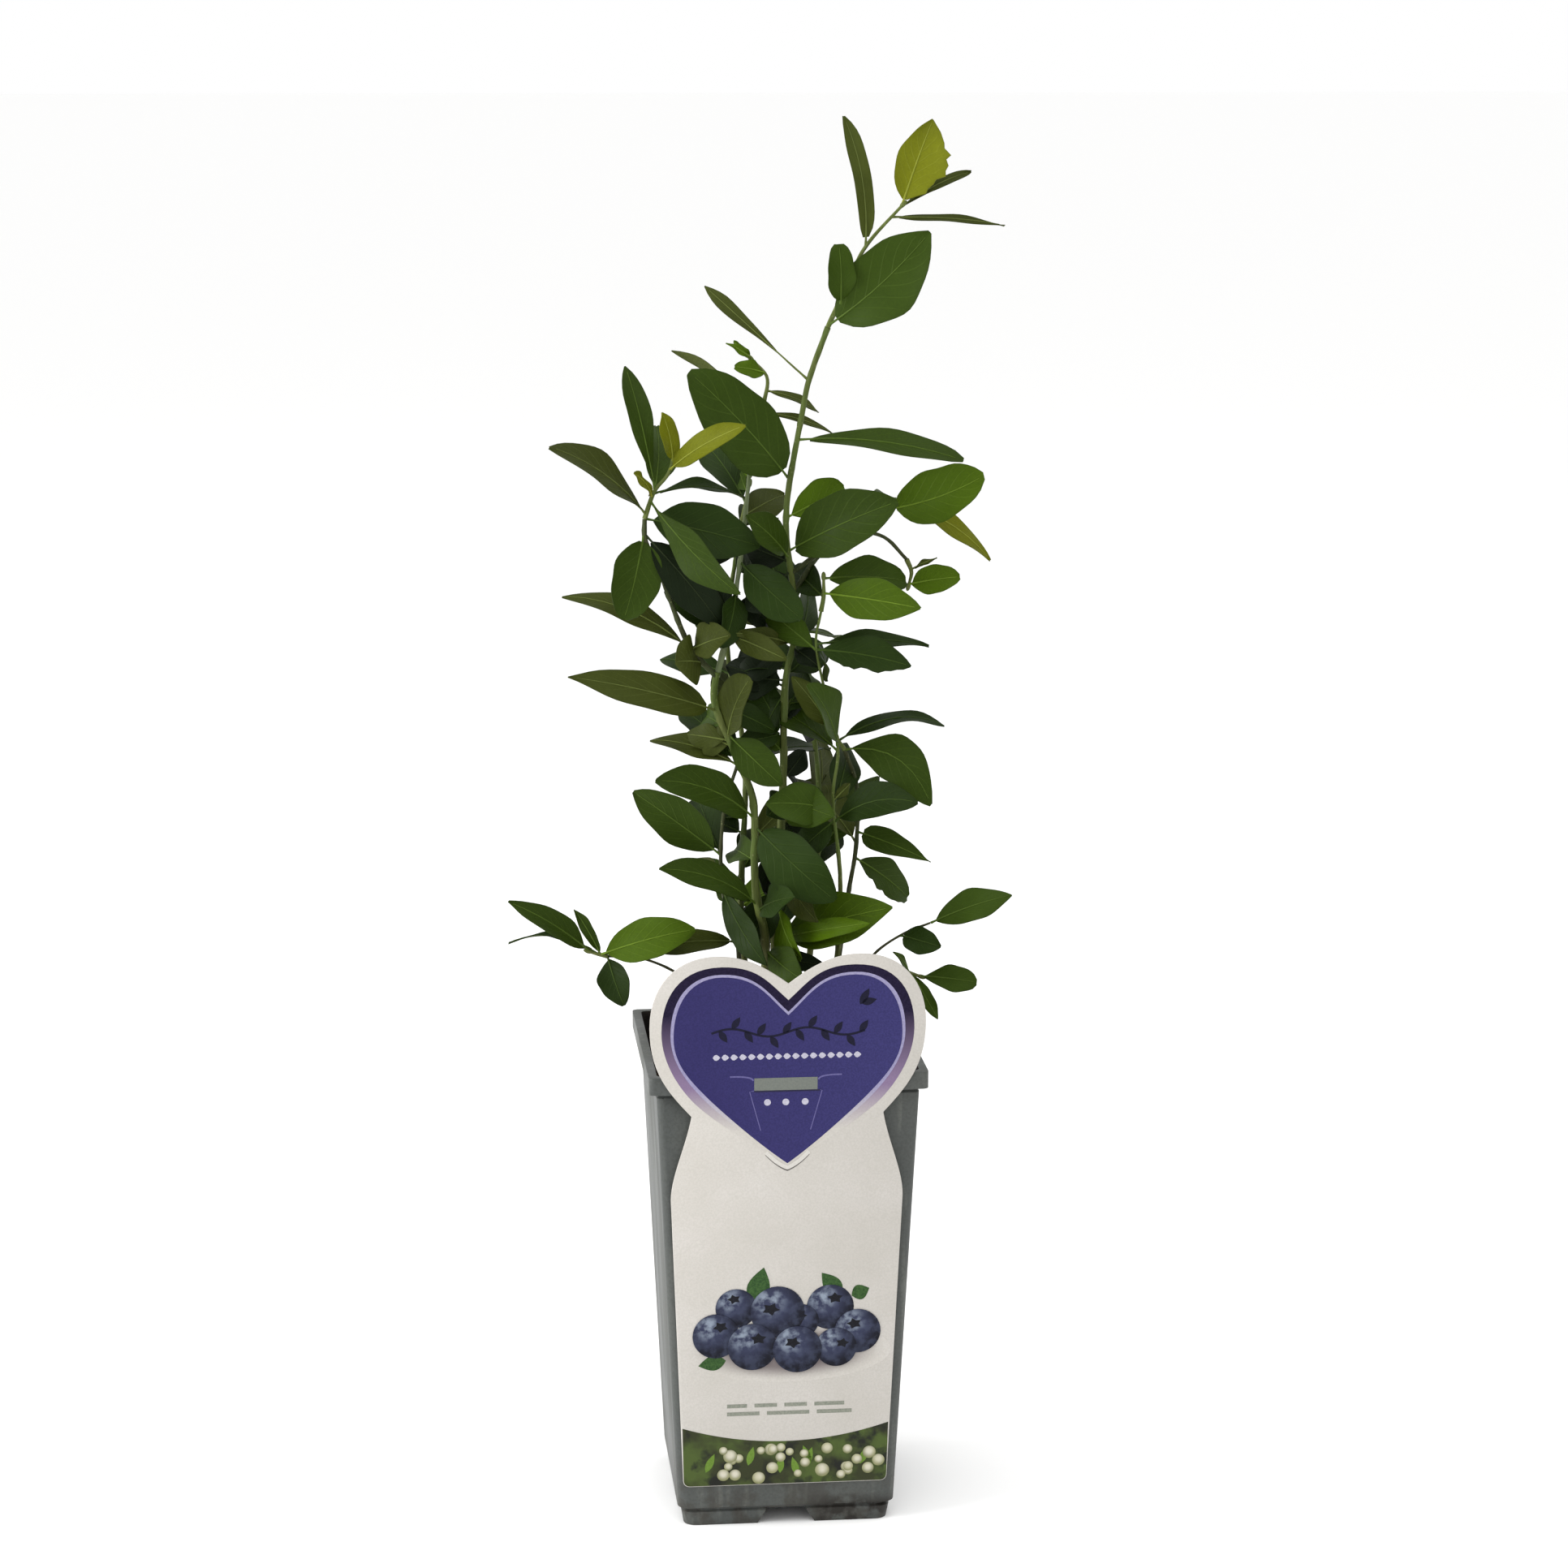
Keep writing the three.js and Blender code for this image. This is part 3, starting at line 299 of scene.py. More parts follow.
mottle.links.new(mottle_in.outputs["Low"], spread.inputs["From Min"])
mottle.links.new(mottle_in.outputs["High"], spread.inputs["From Max"])
mottle.links.new(spread.outputs["Result"], mottle_out.inputs["Mask"])

# 0 where the place measured along a direction is at From, rising to 1 where it is at To, in metres.
ramp, ramp_in, ramp_out = node_group(
    "ramp", {"X": 0.0, "Y": 0.0, "Z": 0.0, "From": 0.0, "To": 0.05}, ["Mask"],
)
ramp_place = ramp.nodes.new("ShaderNodeTexCoord")
ramp_direction = ramp.nodes.new("ShaderNodeCombineXYZ")
ramp_measure = ramp.nodes.new("ShaderNodeVectorMath")
ramp_measure.operation = "DOT_PRODUCT"
ramp_range = ramp.nodes.new("ShaderNodeMapRange")
for label in ("X", "Y", "Z"):
    ramp.links.new(ramp_in.outputs[label], ramp_direction.inputs[label])
ramp.links.new(ramp_place.outputs["Object"], ramp_measure.inputs[0])
ramp.links.new(ramp_direction.outputs["Vector"], ramp_measure.inputs[1])
ramp.links.new(ramp_measure.outputs["Value"], ramp_range.inputs["Value"])
ramp.links.new(ramp_in.outputs["From"], ramp_range.inputs["From Min"])
ramp.links.new(ramp_in.outputs["To"], ramp_range.inputs["From Max"])
ramp.links.new(ramp_range.outputs["Result"], ramp_out.inputs["Mask"])


class Finish:
    """A material with one Principled shader, and short ways to join nodes to it."""

    MIX_UNDER, MIX_OVER, MIX_RESULT = 6, 7, 2

    def __init__(self, name, roughness, specular=0.5):
        self.material = bpy.data.materials.new(name)
        self.material.use_nodes = True
        self.tree = self.material.node_tree
        self.shader = self.tree.nodes["Principled BSDF"]
        self.shader.inputs["Roughness"].default_value = roughness
        self.shader.inputs["Specular IOR Level"].default_value = specular

    def add(self, kind, **values):
        """A new node with the given settings."""
        node = self.tree.nodes.new(kind)
        for label, value in values.items():
            setattr(node, label, value)
        return node

    def join(self, output, target):
        """A link from an output to a socket."""
        self.tree.links.new(output, target)

    def feed(self, value, socket):
        """A plain number or colour is set on the socket, and an output is joined to it."""
        if isinstance(value, (float, tuple)):
            socket.default_value = value
        else:
            self.join(value, socket)

    def effect(self, group, **numbers):
        """A shader group placed in the material with its own values."""
        node = self.add("ShaderNodeGroup", node_tree=group)
        for label, value in numbers.items():
            node.inputs[label].default_value = value
        return node

    def mask(self, group, **numbers):
        """The mask that a shader group puts out."""
        return self.effect(group, **numbers).outputs["Mask"]

    def times(self, first, second):
        """The product of two masks, or of a mask and a number."""
        node = self.add("ShaderNodeMath", operation="MULTIPLY", use_clamp=True)
        self.feed(first, node.inputs[0])
        self.feed(second, node.inputs[1])
        return node.outputs["Value"]

    def blend(self, mask, under, over, strength=1.0):
        """Colour under, with colour over where the mask is 1. Each is a colour or an output."""
        node = self.add("ShaderNodeMix", data_type="RGBA")
        self.join(self.times(mask, strength), node.inputs["Factor"])
        self.feed(under, node.inputs[self.MIX_UNDER])
        self.feed(over, node.inputs[self.MIX_OVER])
        return node.outputs[self.MIX_RESULT]

    def colour(self, output):
        """The material's base colour."""
        self.join(output, self.shader.inputs["Base Color"])

    def rough(self, mask, low, high):
        """Roughness from low, where the mask is 0, to high."""
        node = self.add("ShaderNodeMapRange")
        node.inputs["To Min"].default_value = low
        node.inputs["To Max"].default_value = high
        self.join(mask, node.inputs["Value"])
        self.join(node.outputs["Result"], self.shader.inputs["Roughness"])

    def relief(self, height, distance, strength):
        """Fine bumps in the surface, as deep as the distance in millimetres."""
        node = self.add("ShaderNodeBump")
        node.inputs["Distance"].default_value = distance * MM
        node.inputs["Strength"].default_value = strength
        self.join(height, node.inputs["Height"])
        self.join(node.outputs["Normal"], self.shader.inputs["Normal"])


def grey_plastic():
    """Satin grey plastic with a fine grain, dust, upright scuffs and dried soil on the foot."""
    finish = Finish("grey_pot_plastic", 0.46, 0.28)
    dust = finish.mask(mottle, Scale=38.0, Detail=6.0, Stretch=0.35, Low=0.42, High=0.72)
    grit = finish.mask(mottle, Scale=900.0, Detail=3.0, Low=0.45, High=0.62)
    scuffs = finish.mask(mottle, Scale=260.0, Detail=5.0, Stretch=0.08, Low=0.56, High=0.7)
    colour = finish.blend(dust, paint(68, 71, 69), paint(86, 88, 83), 0.55)
    colour = finish.blend(scuffs, colour, paint(118, 120, 112), 0.28)
    colour = finish.blend(grit, colour, paint(52, 55, 51), 0.3)
    # Dried soil on the foot
    soil_patches = finish.mask(mottle, Scale=95.0, Detail=7.0, Low=0.46, High=0.58)
    low_down = finish.mask(ramp, Z=1.0, From=0.034, To=0.006)
    dirt = finish.times(soil_patches, low_down)
    colour = finish.blend(dirt, colour, paint(46, 40, 32), 0.6)
    # Thick mud on the foot's right front corner
    to_right = finish.mask(ramp, X=1.0, From=0.012, To=0.022)
    muddy = finish.times(to_right, finish.mask(ramp, Z=1.0, From=0.013, To=0.008))
    mud = finish.times(finish.mask(mottle, Scale=170.0, Detail=8.0, Low=0.4, High=0.52), muddy)
    colour = finish.blend(mud, colour, paint(30, 27, 22), 0.95)
    finish.colour(colour)
    finish.rough(dust, 0.42, 0.65)
    finish.relief(grit, 0.06, 0.4)
    return finish.material


pot_bm = bmesh.new()
square_stack(pot_bm, [
    (FOOT_INNER_HALF, FLOOR_UNDERSIDE),
    (FOOT_INNER_HALF, 0),
    (FOOT_HALF - FOOT_TAPER, 0),
    (FOOT_HALF, FOOT_HEIGHT - STEP_EASE),
    (FOOT_HALF - GROOVE, FOOT_HEIGHT - GROOVE_HALF),
    (FOOT_HALF - GROOVE, FOOT_HEIGHT + GROOVE_HALF),
    (WALL_FOOT_HALF, FOOT_HEIGHT + STEP_EASE),
    *[(wall_half(z), z) for z in (*WALL_COURSES, BAND_FOOT - WALL_END)],
    (WALL_TOP_HALF - GROOVE, BAND_FOOT - STEP_EASE),
    (WALL_TOP_HALF - GROOVE, BAND_FOOT),
    (RIM_HALF, BAND_FOOT + BAND_STEP),
    (RIM_HALF, POT_HEIGHT),
    (RIM_HALF - RIM_LIP, POT_HEIGHT),
    *[(wall_half(z) - WALL, z) for z in (BAND_FOOT, *reversed(WALL_COURSES), FLOOR_TOP)],
])
# Faces above the floor that look towards the middle are the inside, which is painted near-black as shade
for face in pot_bm.faces:
    middle = face.calc_center_median() - POT_FOOT
    face.normal_update()
    inwards = face.normal.x * middle.x + face.normal.y * middle.y < -0.01 * MM
    face.material_index = int(inwards and middle.z > FLOOR_TOP * MM)
# The inside wall's near-black browns are painted shade, faintly patchy
inside_shade_finish = Finish("painted_shade_inside", 0.8, 0.15)
inside_patches = inside_shade_finish.mask(mottle, Scale=120.0, Detail=6.0, Low=0.4, High=0.62)
inside_shade_finish.colour(inside_shade_finish.blend(inside_patches, paint(26, 22, 21), paint(46, 42, 38), 0.7))
inside_shade_finish.relief(inside_patches, 0.2, 0.4)
pot = to_object("pot_shell", pot_bm, grey_plastic(), inside_shade_finish.material)

# Cutters for the notches, which narrow upwards, and for the drain holes
notches_bm = bmesh.new()
for quarter in range(4):
    wedge = bmesh.ops.create_cube(notches_bm, size=1)["verts"]
    for vert in wedge:
        half, z = NOTCH_HALF_BELOW + NOTCH_SLOPE * NOTCH_BELOW, -NOTCH_BELOW
        if vert.co.z > 0:
            half, z = NOTCH_HALF_ABOVE, NOTCH_HEIGHT
        out = NOTCH_OUTER if vert.co.y > 0 else NOTCH_INNER
        vert.co = Vector((math.copysign(half, vert.co.x), out, z)) * MM
    turned = Matrix.Rotation(quarter * math.pi / 2, 3, "Z")
    bmesh.ops.rotate(notches_bm, verts=wedge, cent=(0, 0, 0), matrix=turned)
    bmesh.ops.translate(notches_bm, verts=wedge, vec=POT_FOOT)
notches = to_object("notch_cutter", notches_bm)
drains_bm = bmesh.new()
for x, y in DRAINS:
    bmesh.ops.create_cone(
        drains_bm, cap_ends=True, segments=DRAIN_SIDES, radius1=DRAIN_RADIUS * MM,
        radius2=DRAIN_RADIUS * MM, depth=DRAIN_CUT * MM, matrix=Matrix.Translation(spot(x, y, FLOOR_TOP)),
    )
drains = to_object("drain_cutter", drains_bm)
for cutter in (notches, drains):
    cut = pot.modifiers.new("cut", "BOOLEAN")
    cut.operation = "DIFFERENCE"
    cut.solver = "EXACT"
    cut.object = cutter
    apply_modifiers(pot)
    bpy.data.objects.remove(cutter)
round_edges(pot, POT_EDGE_ROUND)
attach(pot, "root")
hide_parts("pot")


# ---------------------------------------------------------------- soil
# Damp peat mix with bark crumbs, filled to a couple of centimetres below the rim. Its top is uneven
# and crumbs of peat, bark and a little grit lie on it.

SOIL_TOP = 168
SOIL_CLEAR = 0.4
SOIL_CELLS = 44
SOD_SHARE = 0.97
LUMP_RISE = 1.1
LUMP_DIP = 0.6
LUMP_SCALE = 0.09
CORNER_PULL = 0.035
EDGE_FROM = 0.93
EDGE_BAND = 0.07
EDGE_DROP = 2.6
CRUMBS = 420
CRUMB_SIZES = (0.7, 0.9, 1.2, 1.8)
CRUMB_MARGIN = 4
soil_rng = random.Random(11)


def soil_paint(name, base, patch):
    """Dull, rough earth of two browns."""
    finish = Finish(name, 0.92, 0.25)
    coarse = finish.mask(mottle, Scale=240.0, Detail=6.0, Low=0.4, High=0.62)
    colour = finish.blend(coarse, base, patch, 0.9)
    finish.colour(colour)
    finish.relief(coarse, 0.8, 0.7)
    return finish.material


def soil_height(x, y):
    """Height of the soil's top at a place, in millimetres."""
    lumps = noise.fractal(Vector((x, y, 3.0)) * LUMP_SCALE, 0.6, 2.1, 5)
    return SOIL_TOP - LUMP_DIP + LUMP_RISE * lumps


soil_bm = bmesh.new()
soil_inside = wall_half(SOIL_TOP) - WALL - SOIL_CLEAR
sod_half = soil_inside * SOD_SHARE
square_stack(soil_bm, [
    (wall_half(FLOOR_TOP) - WALL - SOIL_CLEAR, FLOOR_TOP + SOIL_CLEAR),
    (soil_inside - 0.3, SOIL_TOP - 3),
    (soil_inside - 0.8, SOIL_TOP - 2),
])
sod = bmesh.ops.create_grid(soil_bm, x_segments=SOIL_CELLS, y_segments=SOIL_CELLS, size=sod_half * MM)
for vert in sod["verts"]:
    x, y = vert.co.x / MM, vert.co.y / MM
    edge = max(abs(x), abs(y)) / sod_half
    pulled = 1 - CORNER_PULL * (abs(x) * abs(y)) / (soil_inside ** 2)
    drop = EDGE_DROP * max(0.0, edge - EDGE_FROM) / EDGE_BAND
    vert.co = spot(x * pulled, y * pulled, soil_height(x, y) - drop)
soil = to_object("soil_bed", soil_bm, soil_paint("damp_peat", paint(38, 28, 20), paint(66, 50, 36)))
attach(soil, "root")
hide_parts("soil")

crumbs_bm = bmesh.new()
reach = soil_inside - CRUMB_MARGIN
for i in range(CRUMBS):
    x, y = soil_rng.uniform(-reach, reach), soil_rng.uniform(-reach, reach)
    size = soil_rng.choice(CRUMB_SIZES)
    flat = soil_rng.uniform(0.35, 0.8)
    crumb = bmesh.ops.create_icosphere(crumbs_bm, subdivisions=1, radius=size * MM)["verts"]
    turned = Matrix.Rotation(soil_rng.uniform(0, 6.28), 4, "Z") @ Matrix.Diagonal((1.5, 0.9, flat, 1))
    for vert in crumb:
        ripple = 1 + 0.3 * noise.noise(vert.co / MM * 1.7 + Vector((i * 3.1, 0, 0)))
        vert.co = spot(x, y, soil_height(x, y) + 0.3 * size) + turned @ (vert.co * ripple)
crumbs = to_object("soil_crumbs", crumbs_bm, soil_paint("bark_crumbs", paint(58, 42, 29), paint(92, 72, 52)))
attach(crumbs, "root")


# ---------------------------------------------------------------- label card
# A die-cut card of printed plastic, with a heart for its head and a long body below, leans on the
# pot's front. A tongue behind the heart hooks over the flange and reaches down inside the pot.

CARD_OFFSET = -0.8
CARD_THICK = 1.0
CARD_GAP = 0.35
CARD_BOTTOM = 18
CARD_TOP = 239.5
CARD_HALF_BOTTOM = 41
CARD_HALF_SHOULDER = 45.8
CARD_SIDE_TOP = 140
CARD_HALF_NECK = 37.7
CARD_NECK = 174.5
CARD_HALF_HEART = 54
CARD_HEART_WIDEST = 211
CARD_LOBE_X = 28
CARD_NOTCH = 228
CARD_CORNER = 3
CARD_EDGE_ROUND = 0.25
TONGUE_HALF = 13
TONGUE_INSET = 3.2
TONGUE_DEPTH = 18
TONGUE_CLEAR = 0.3
CURVE_STEPS = 14

card_back_at_band = -RIM_HALF - CARD_GAP
card_lean = (-wall_half(CARD_BOTTOM) - CARD_GAP - card_back_at_band) / (BAND_FOOT - CARD_BOTTOM)


def card_front(z):
    """Where the card's front face is at a height."""
    return card_back_at_band + card_lean * (BAND_FOOT - z) - CARD_THICK


def bezier(*corners):
    """Points along a Bezier stretch after its first corner; three or four corners."""
    points = []
    for step in range(1, CURVE_STEPS + 1):
        row = [Vector(corner) for corner in corners]
        share = step / CURVE_STEPS
        while len(row) > 1:
            row = [a.lerp(b, share) for a, b in zip(row, row[1:])]
        points.append(row[0])
    return points


def mirrored(right_half):
    """A closed outline from its right half, which runs from a point on the middle line to another."""
    left_half = [Vector((-point.x, point.y)) for point in reversed(right_half[1:-1])]
    return [*right_half, *left_half]


def print_bm():
    """An empty bmesh whose faces will carry a UV map."""
    bm = bmesh.new()
    bm.loops.layers.uv.new("UVMap")
    return bm


def flat_piece(bm, outline, lift, depth, material_index=0, middle=(0, 0), reach=(1, 1)):
    """A thin closed plate of a flat outline (x, z), its face lifted off the card's front.

    Its UV map is 0 at the middle and 1 at the reach.
    """
    verts = [bm.verts.new(spot(p.x + CARD_OFFSET, card_front(p.y) - lift, p.y)) for p in outline]
    face = bm.faces.new(verts)
    grown = bmesh.ops.extrude_face_region(bm, geom=[face])["geom"]
    fresh = [item for item in grown if isinstance(item, bmesh.types.BMVert)]
    bmesh.ops.translate(bm, verts=fresh, vec=(0, depth * MM, 0))
    made = {f for vert in [*verts, *fresh] for f in vert.link_faces}
    bmesh.ops.recalc_face_normals(bm, faces=list(made))
    layer = bm.loops.layers.uv["UVMap"]
    for f in made:
        f.material_index = material_index
        for loop in f.loops:
            flat = (loop.vert.co - POT_FOOT) / MM
            across = (flat.x - CARD_OFFSET - middle[0]) / reach[0]
            loop[layer].uv = (across, (flat.z - middle[1]) / reach[1])


card_outline = mirrored([
    Vector((0, CARD_BOTTOM)),
    Vector((CARD_HALF_BOTTOM - CARD_CORNER, CARD_BOTTOM)),
    *bezier((CARD_HALF_BOTTOM - CARD_CORNER, CARD_BOTTOM), (CARD_HALF_BOTTOM, CARD_BOTTOM),
            (CARD_HALF_BOTTOM, CARD_BOTTOM + CARD_CORNER)),
    Vector((CARD_HALF_SHOULDER, CARD_SIDE_TOP)),
    *bezier((CARD_HALF_SHOULDER, CARD_SIDE_TOP), (CARD_HALF_SHOULDER, CARD_SIDE_TOP + 10),
            (CARD_HALF_NECK + 2, CARD_NECK - 12), (CARD_HALF_NECK, CARD_NECK)),
    *bezier((CARD_HALF_NECK, CARD_NECK), (CARD_HALF_NECK + 9, CARD_NECK + 10),
            (CARD_HALF_HEART, CARD_HEART_WIDEST - 18), (CARD_HALF_HEART, CARD_HEART_WIDEST)),
    *bezier((CARD_HALF_HEART, CARD_HEART_WIDEST), (CARD_HALF_HEART, CARD_HEART_WIDEST + 17),
            (CARD_LOBE_X + 16, CARD_TOP), (CARD_LOBE_X, CARD_TOP)),
    *bezier((CARD_LOBE_X, CARD_TOP), (CARD_LOBE_X - 12, CARD_TOP), (8, CARD_NOTCH + 6), (0, CARD_NOTCH)),
])


def card_ground(finish):
    """The card's warm white, faintly clouded and grainy, as a colour output."""
    cloud = finish.mask(mottle, Scale=30.0, Detail=3.0, Low=0.3, High=0.7)
    fine = finish.mask(mottle, Scale=1400.0, Detail=2.0)
    colour = finish.blend(cloud, paint(180, 176, 169), paint(189, 185, 180), 0.9)
    return finish.blend(fine, colour, paint(168, 164, 157), 0.45)


card_bm = print_bm()
flat_piece(card_bm, card_outline, 0, CARD_THICK)
# The tongue: a bridge over the rim and a leg that reaches down behind it
leg_front = -(RIM_HALF - RIM_LIP) + TONGUE_INSET - CARD_THICK
bridge_low = POT_HEIGHT + TONGUE_CLEAR
for low, high in (
    ((-TONGUE_HALF, card_front(POT_HEIGHT) + CARD_THICK / 2, bridge_low),
     (TONGUE_HALF, leg_front + CARD_THICK, bridge_low + CARD_THICK)),
    ((-TONGUE_HALF, leg_front, bridge_low + CARD_THICK / 2 - TONGUE_DEPTH),
     (TONGUE_HALF, leg_front + CARD_THICK, bridge_low + CARD_THICK / 2)),
):
    block = bmesh.ops.create_cube(card_bm, size=1)["verts"]
    for vert in block:
        x, y, z = (a + (b - a) * (s + 0.5) for a, b, s in zip(low, high, vert.co))
        vert.co = spot(x + CARD_OFFSET, y, z)
card_finish = Finish("card_white", 0.5, 0.2)
card_finish.colour(card_ground(card_finish))
card = to_object("label_card", card_bm, card_finish.material)
round_edges(card, CARD_EDGE_ROUND)
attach(card, "root")
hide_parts("label")


# ---------------------------------------------------------------- print on the card
# The card's printed parts are thin films on its front: a purple heart with a pale line and a darker
# band round it and a leafy garland across it, a heap of blueberries on the white body, two rows of
# plain bars, and a strip of leafy blur with pale blossom spots along the bottom.

FILM = 0.05
HEART_LOBE_X = 26
# Each heart: half width, heights of its lobes' tops, its notch and its widest place, the place on its
# side below which it runs straight to the tip, and the tip's height.
HEARTS = {
    "band": (49.4, 235.3, 221.4, 209, (36.5, 180), 153.3),
    "line": (45.9, 232.3, 216.7, 208, (32.4, 181), 153.7),
    "field": (44.7, 231.2, 215.3, 207, (30.8, 181.5), 154.4),
}


def film(bm, outline, level, material_index=0, middle=(0, 0), reach=(1, 1)):
    """A printed film, each level lying over the one below it."""
    flat_piece(bm, outline, FILM * level, FILM * level * 0.9, material_index, middle, reach)


def on_card(name, bm, *materials):
    """A printed piece that belongs to the card."""
    made = to_object(name, bm, *materials)
    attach(made, "root")
    return made


def ink(name, colour, over, strength=0.5):
    """Slightly grainy printed colour under the card's satin film."""
    finish = Finish(name, 0.5, 0.15)
    grain = finish.mask(mottle, Scale=1300.0, Detail=3.0)
    finish.colour(finish.blend(grain, colour, over, strength))
    return finish.material


def heart_outline(half, lobe, notch, widest, side, tip):
    """A heart, as points (x, z)."""
    across, up = side
    return mirrored([
        Vector((0, notch)),
        *bezier((0, notch), (8, notch + 7.5), (HEART_LOBE_X - 14, lobe), (HEART_LOBE_X, lobe)),
        *bezier((HEART_LOBE_X, lobe), (half - 6.5, lobe), (half, widest + 14), (half, widest)),
        *bezier((half, widest), (half, widest - 11), (across + 7, up + 7.5), side),
        *bezier(side, (across - 8.5, up - 8.7), (9, tip + 6.4), (0, tip)),
    ])


def stroke(points, half_width):
    """The outline of a line of even width along points (x, z)."""
    right, left = [], []
    for i, point in enumerate(points):
        ahead = points[min(i + 1, len(points) - 1)] - points[max(i - 1, 0)]
        across = Vector((-ahead.y, ahead.x)).normalized() * half_width
        right.append(point + across)
        left.append(point - across)
    return [*right, *reversed(left)]


def disc(middle, radius, sides=36):
    """A circle of straight sides, as points (x, z)."""
    x, z = middle
    angles = [2 * math.pi * i / sides for i in range(sides)]
    return [Vector((x + math.cos(a) * radius, z + math.sin(a) * radius)) for a in angles]


def printed_leaf(base, tip, half_width, steps=10):
    """A pointed oval from base to tip, as points (x, z), widest a little nearer the base."""
    start, end = Vector(base), Vector(tip)
    across = Vector((-(end - start).y, (end - start).x)).normalized() * half_width
    swell = [math.sin(math.pi * (i / steps) ** 0.85) for i in range(steps + 1)]
    right = [start.lerp(end, i / steps) + across * swell[i] for i in range(steps + 1)]
    left = [start.lerp(end, i / steps) - across * swell[i] for i in range(steps - 1, 0, -1)]
    return [*right, *left]


# The band is navy above and mauve below, and it and the line fade into the card near the tip
band_finish = Finish("heart_band", 0.5, 0.12)
band_low = band_finish.mask(ramp, Z=1.0, From=0.216, To=0.188)
band_end = band_finish.mask(ramp, Z=1.0, From=0.186, To=0.168)
band_grain = band_finish.mask(mottle, Scale=1300.0, Detail=2.0)
band_colour = band_finish.blend(band_low, paint(14, 6, 34), paint(122, 104, 132))
band_colour = band_finish.blend(band_grain, band_colour, paint(70, 60, 98), 0.1)
band_finish.colour(band_finish.blend(band_end, band_colour, card_ground(band_finish)))
line_finish = Finish("heart_line", 0.5, 0.12)
line_end = line_finish.mask(ramp, Z=1.0, From=0.186, To=0.168)
line_grain = line_finish.mask(mottle, Scale=1300.0, Detail=2.0)
line_colour = line_finish.blend(line_grain, paint(142, 138, 168), paint(116, 110, 146), 0.5)
line_finish.colour(line_finish.blend(line_end, line_colour, card_ground(line_finish)))
field_finish = Finish("heart_field", 0.5, 0.12)
field_right = field_finish.mask(ramp, X=1.0, From=-0.03, To=0.06)
field_cloud = field_finish.mask(mottle, Scale=26.0, Detail=4.0, Low=0.3, High=0.7)
field_grain = field_finish.mask(mottle, Scale=1500.0, Detail=2.0)
field_colour = field_finish.blend(field_right, paint(42, 38, 86), paint(56, 54, 106), 0.7)
field_colour = field_finish.blend(field_cloud, field_colour, paint(54, 50, 98), 0.3)
field_finish.colour(field_finish.blend(field_grain, field_colour, paint(26, 24, 60), 0.35))
heart_bm = print_bm()
for level, name in enumerate(HEARTS):
    film(heart_bm, heart_outline(*HEARTS[name]), level + 1, level)
on_card("heart_print", heart_bm, band_finish.material, line_finish.material, field_finish.material)

# Garland across the heart with leaves above and below it by turns, and a tiny sprig at the upper right
GARLAND_HALF = 30
GARLAND_Z = 208.5
GARLAND_WAVE = 1.7
GARLAND_RATE = 0.21
GARLAND_LINE_HALF = 0.45
GARLAND_LEAF = Vector((3.2, 4.8))
GARLAND_LEAF_HALF = 1.35
SPRIG = [((28, 219), (31.5, 225.5)), ((28.5, 219.5), (34.5, 221))]
SPRIG_LEAF_HALF = 1.5


def garland_point(x):
    """The garland's stalk, which waves gently, at a place across the heart."""
    return Vector((x, GARLAND_Z + GARLAND_WAVE * math.sin(x * GARLAND_RATE)))


garland_bm = print_bm()
garland_line = [garland_point(x) for x in range(-GARLAND_HALF, GARLAND_HALF + 1, 2)]
film(garland_bm, stroke(garland_line, GARLAND_LINE_HALF), 4)
for i, x in enumerate(range(-GARLAND_HALF + 3, GARLAND_HALF, 5)):
    stalk = garland_point(x)
    reach = Vector((GARLAND_LEAF.x, GARLAND_LEAF.y if i % 2 else -GARLAND_LEAF.y))
    film(garland_bm, printed_leaf(stalk, stalk + reach, GARLAND_LEAF_HALF), 4)
for base, tip in SPRIG:
    film(garland_bm, printed_leaf(base, tip, SPRIG_LEAF_HALF), 4)
on_card("heart_garland", garland_bm, ink("navy_ink", paint(10, 9, 30), paint(20, 18, 46)))

# A row of small pale lozenges below the garland, and three dots below the flap's slot
LOZENGES = 17
LOZENGE_FIRST_X = -28
LOZENGE_PITCH = 3.45
LOZENGE_Z = 198.6
LOZENGE_HALF = 1.5
LOZENGE_HALF_HEIGHT = 1.25
DOTS_X = (-8, -0.8, 6.8)
DOTS_Z = 179.8
DOT_RADIUS = 1.35
lozenges_bm = print_bm()
for i in range(LOZENGES):
    x = LOZENGE_FIRST_X + LOZENGE_PITCH * i
    left, right = (x - LOZENGE_HALF, LOZENGE_Z), (x + LOZENGE_HALF, LOZENGE_Z)
    film(lozenges_bm, printed_leaf(left, right, LOZENGE_HALF_HEIGHT, 4), 4)
for x in DOTS_X:
    film(lozenges_bm, disc((x, DOTS_Z), DOT_RADIUS, 20), 4)
on_card("heart_lozenges", lozenges_bm, ink("pale_ink", paint(176, 174, 186), paint(140, 136, 160)))

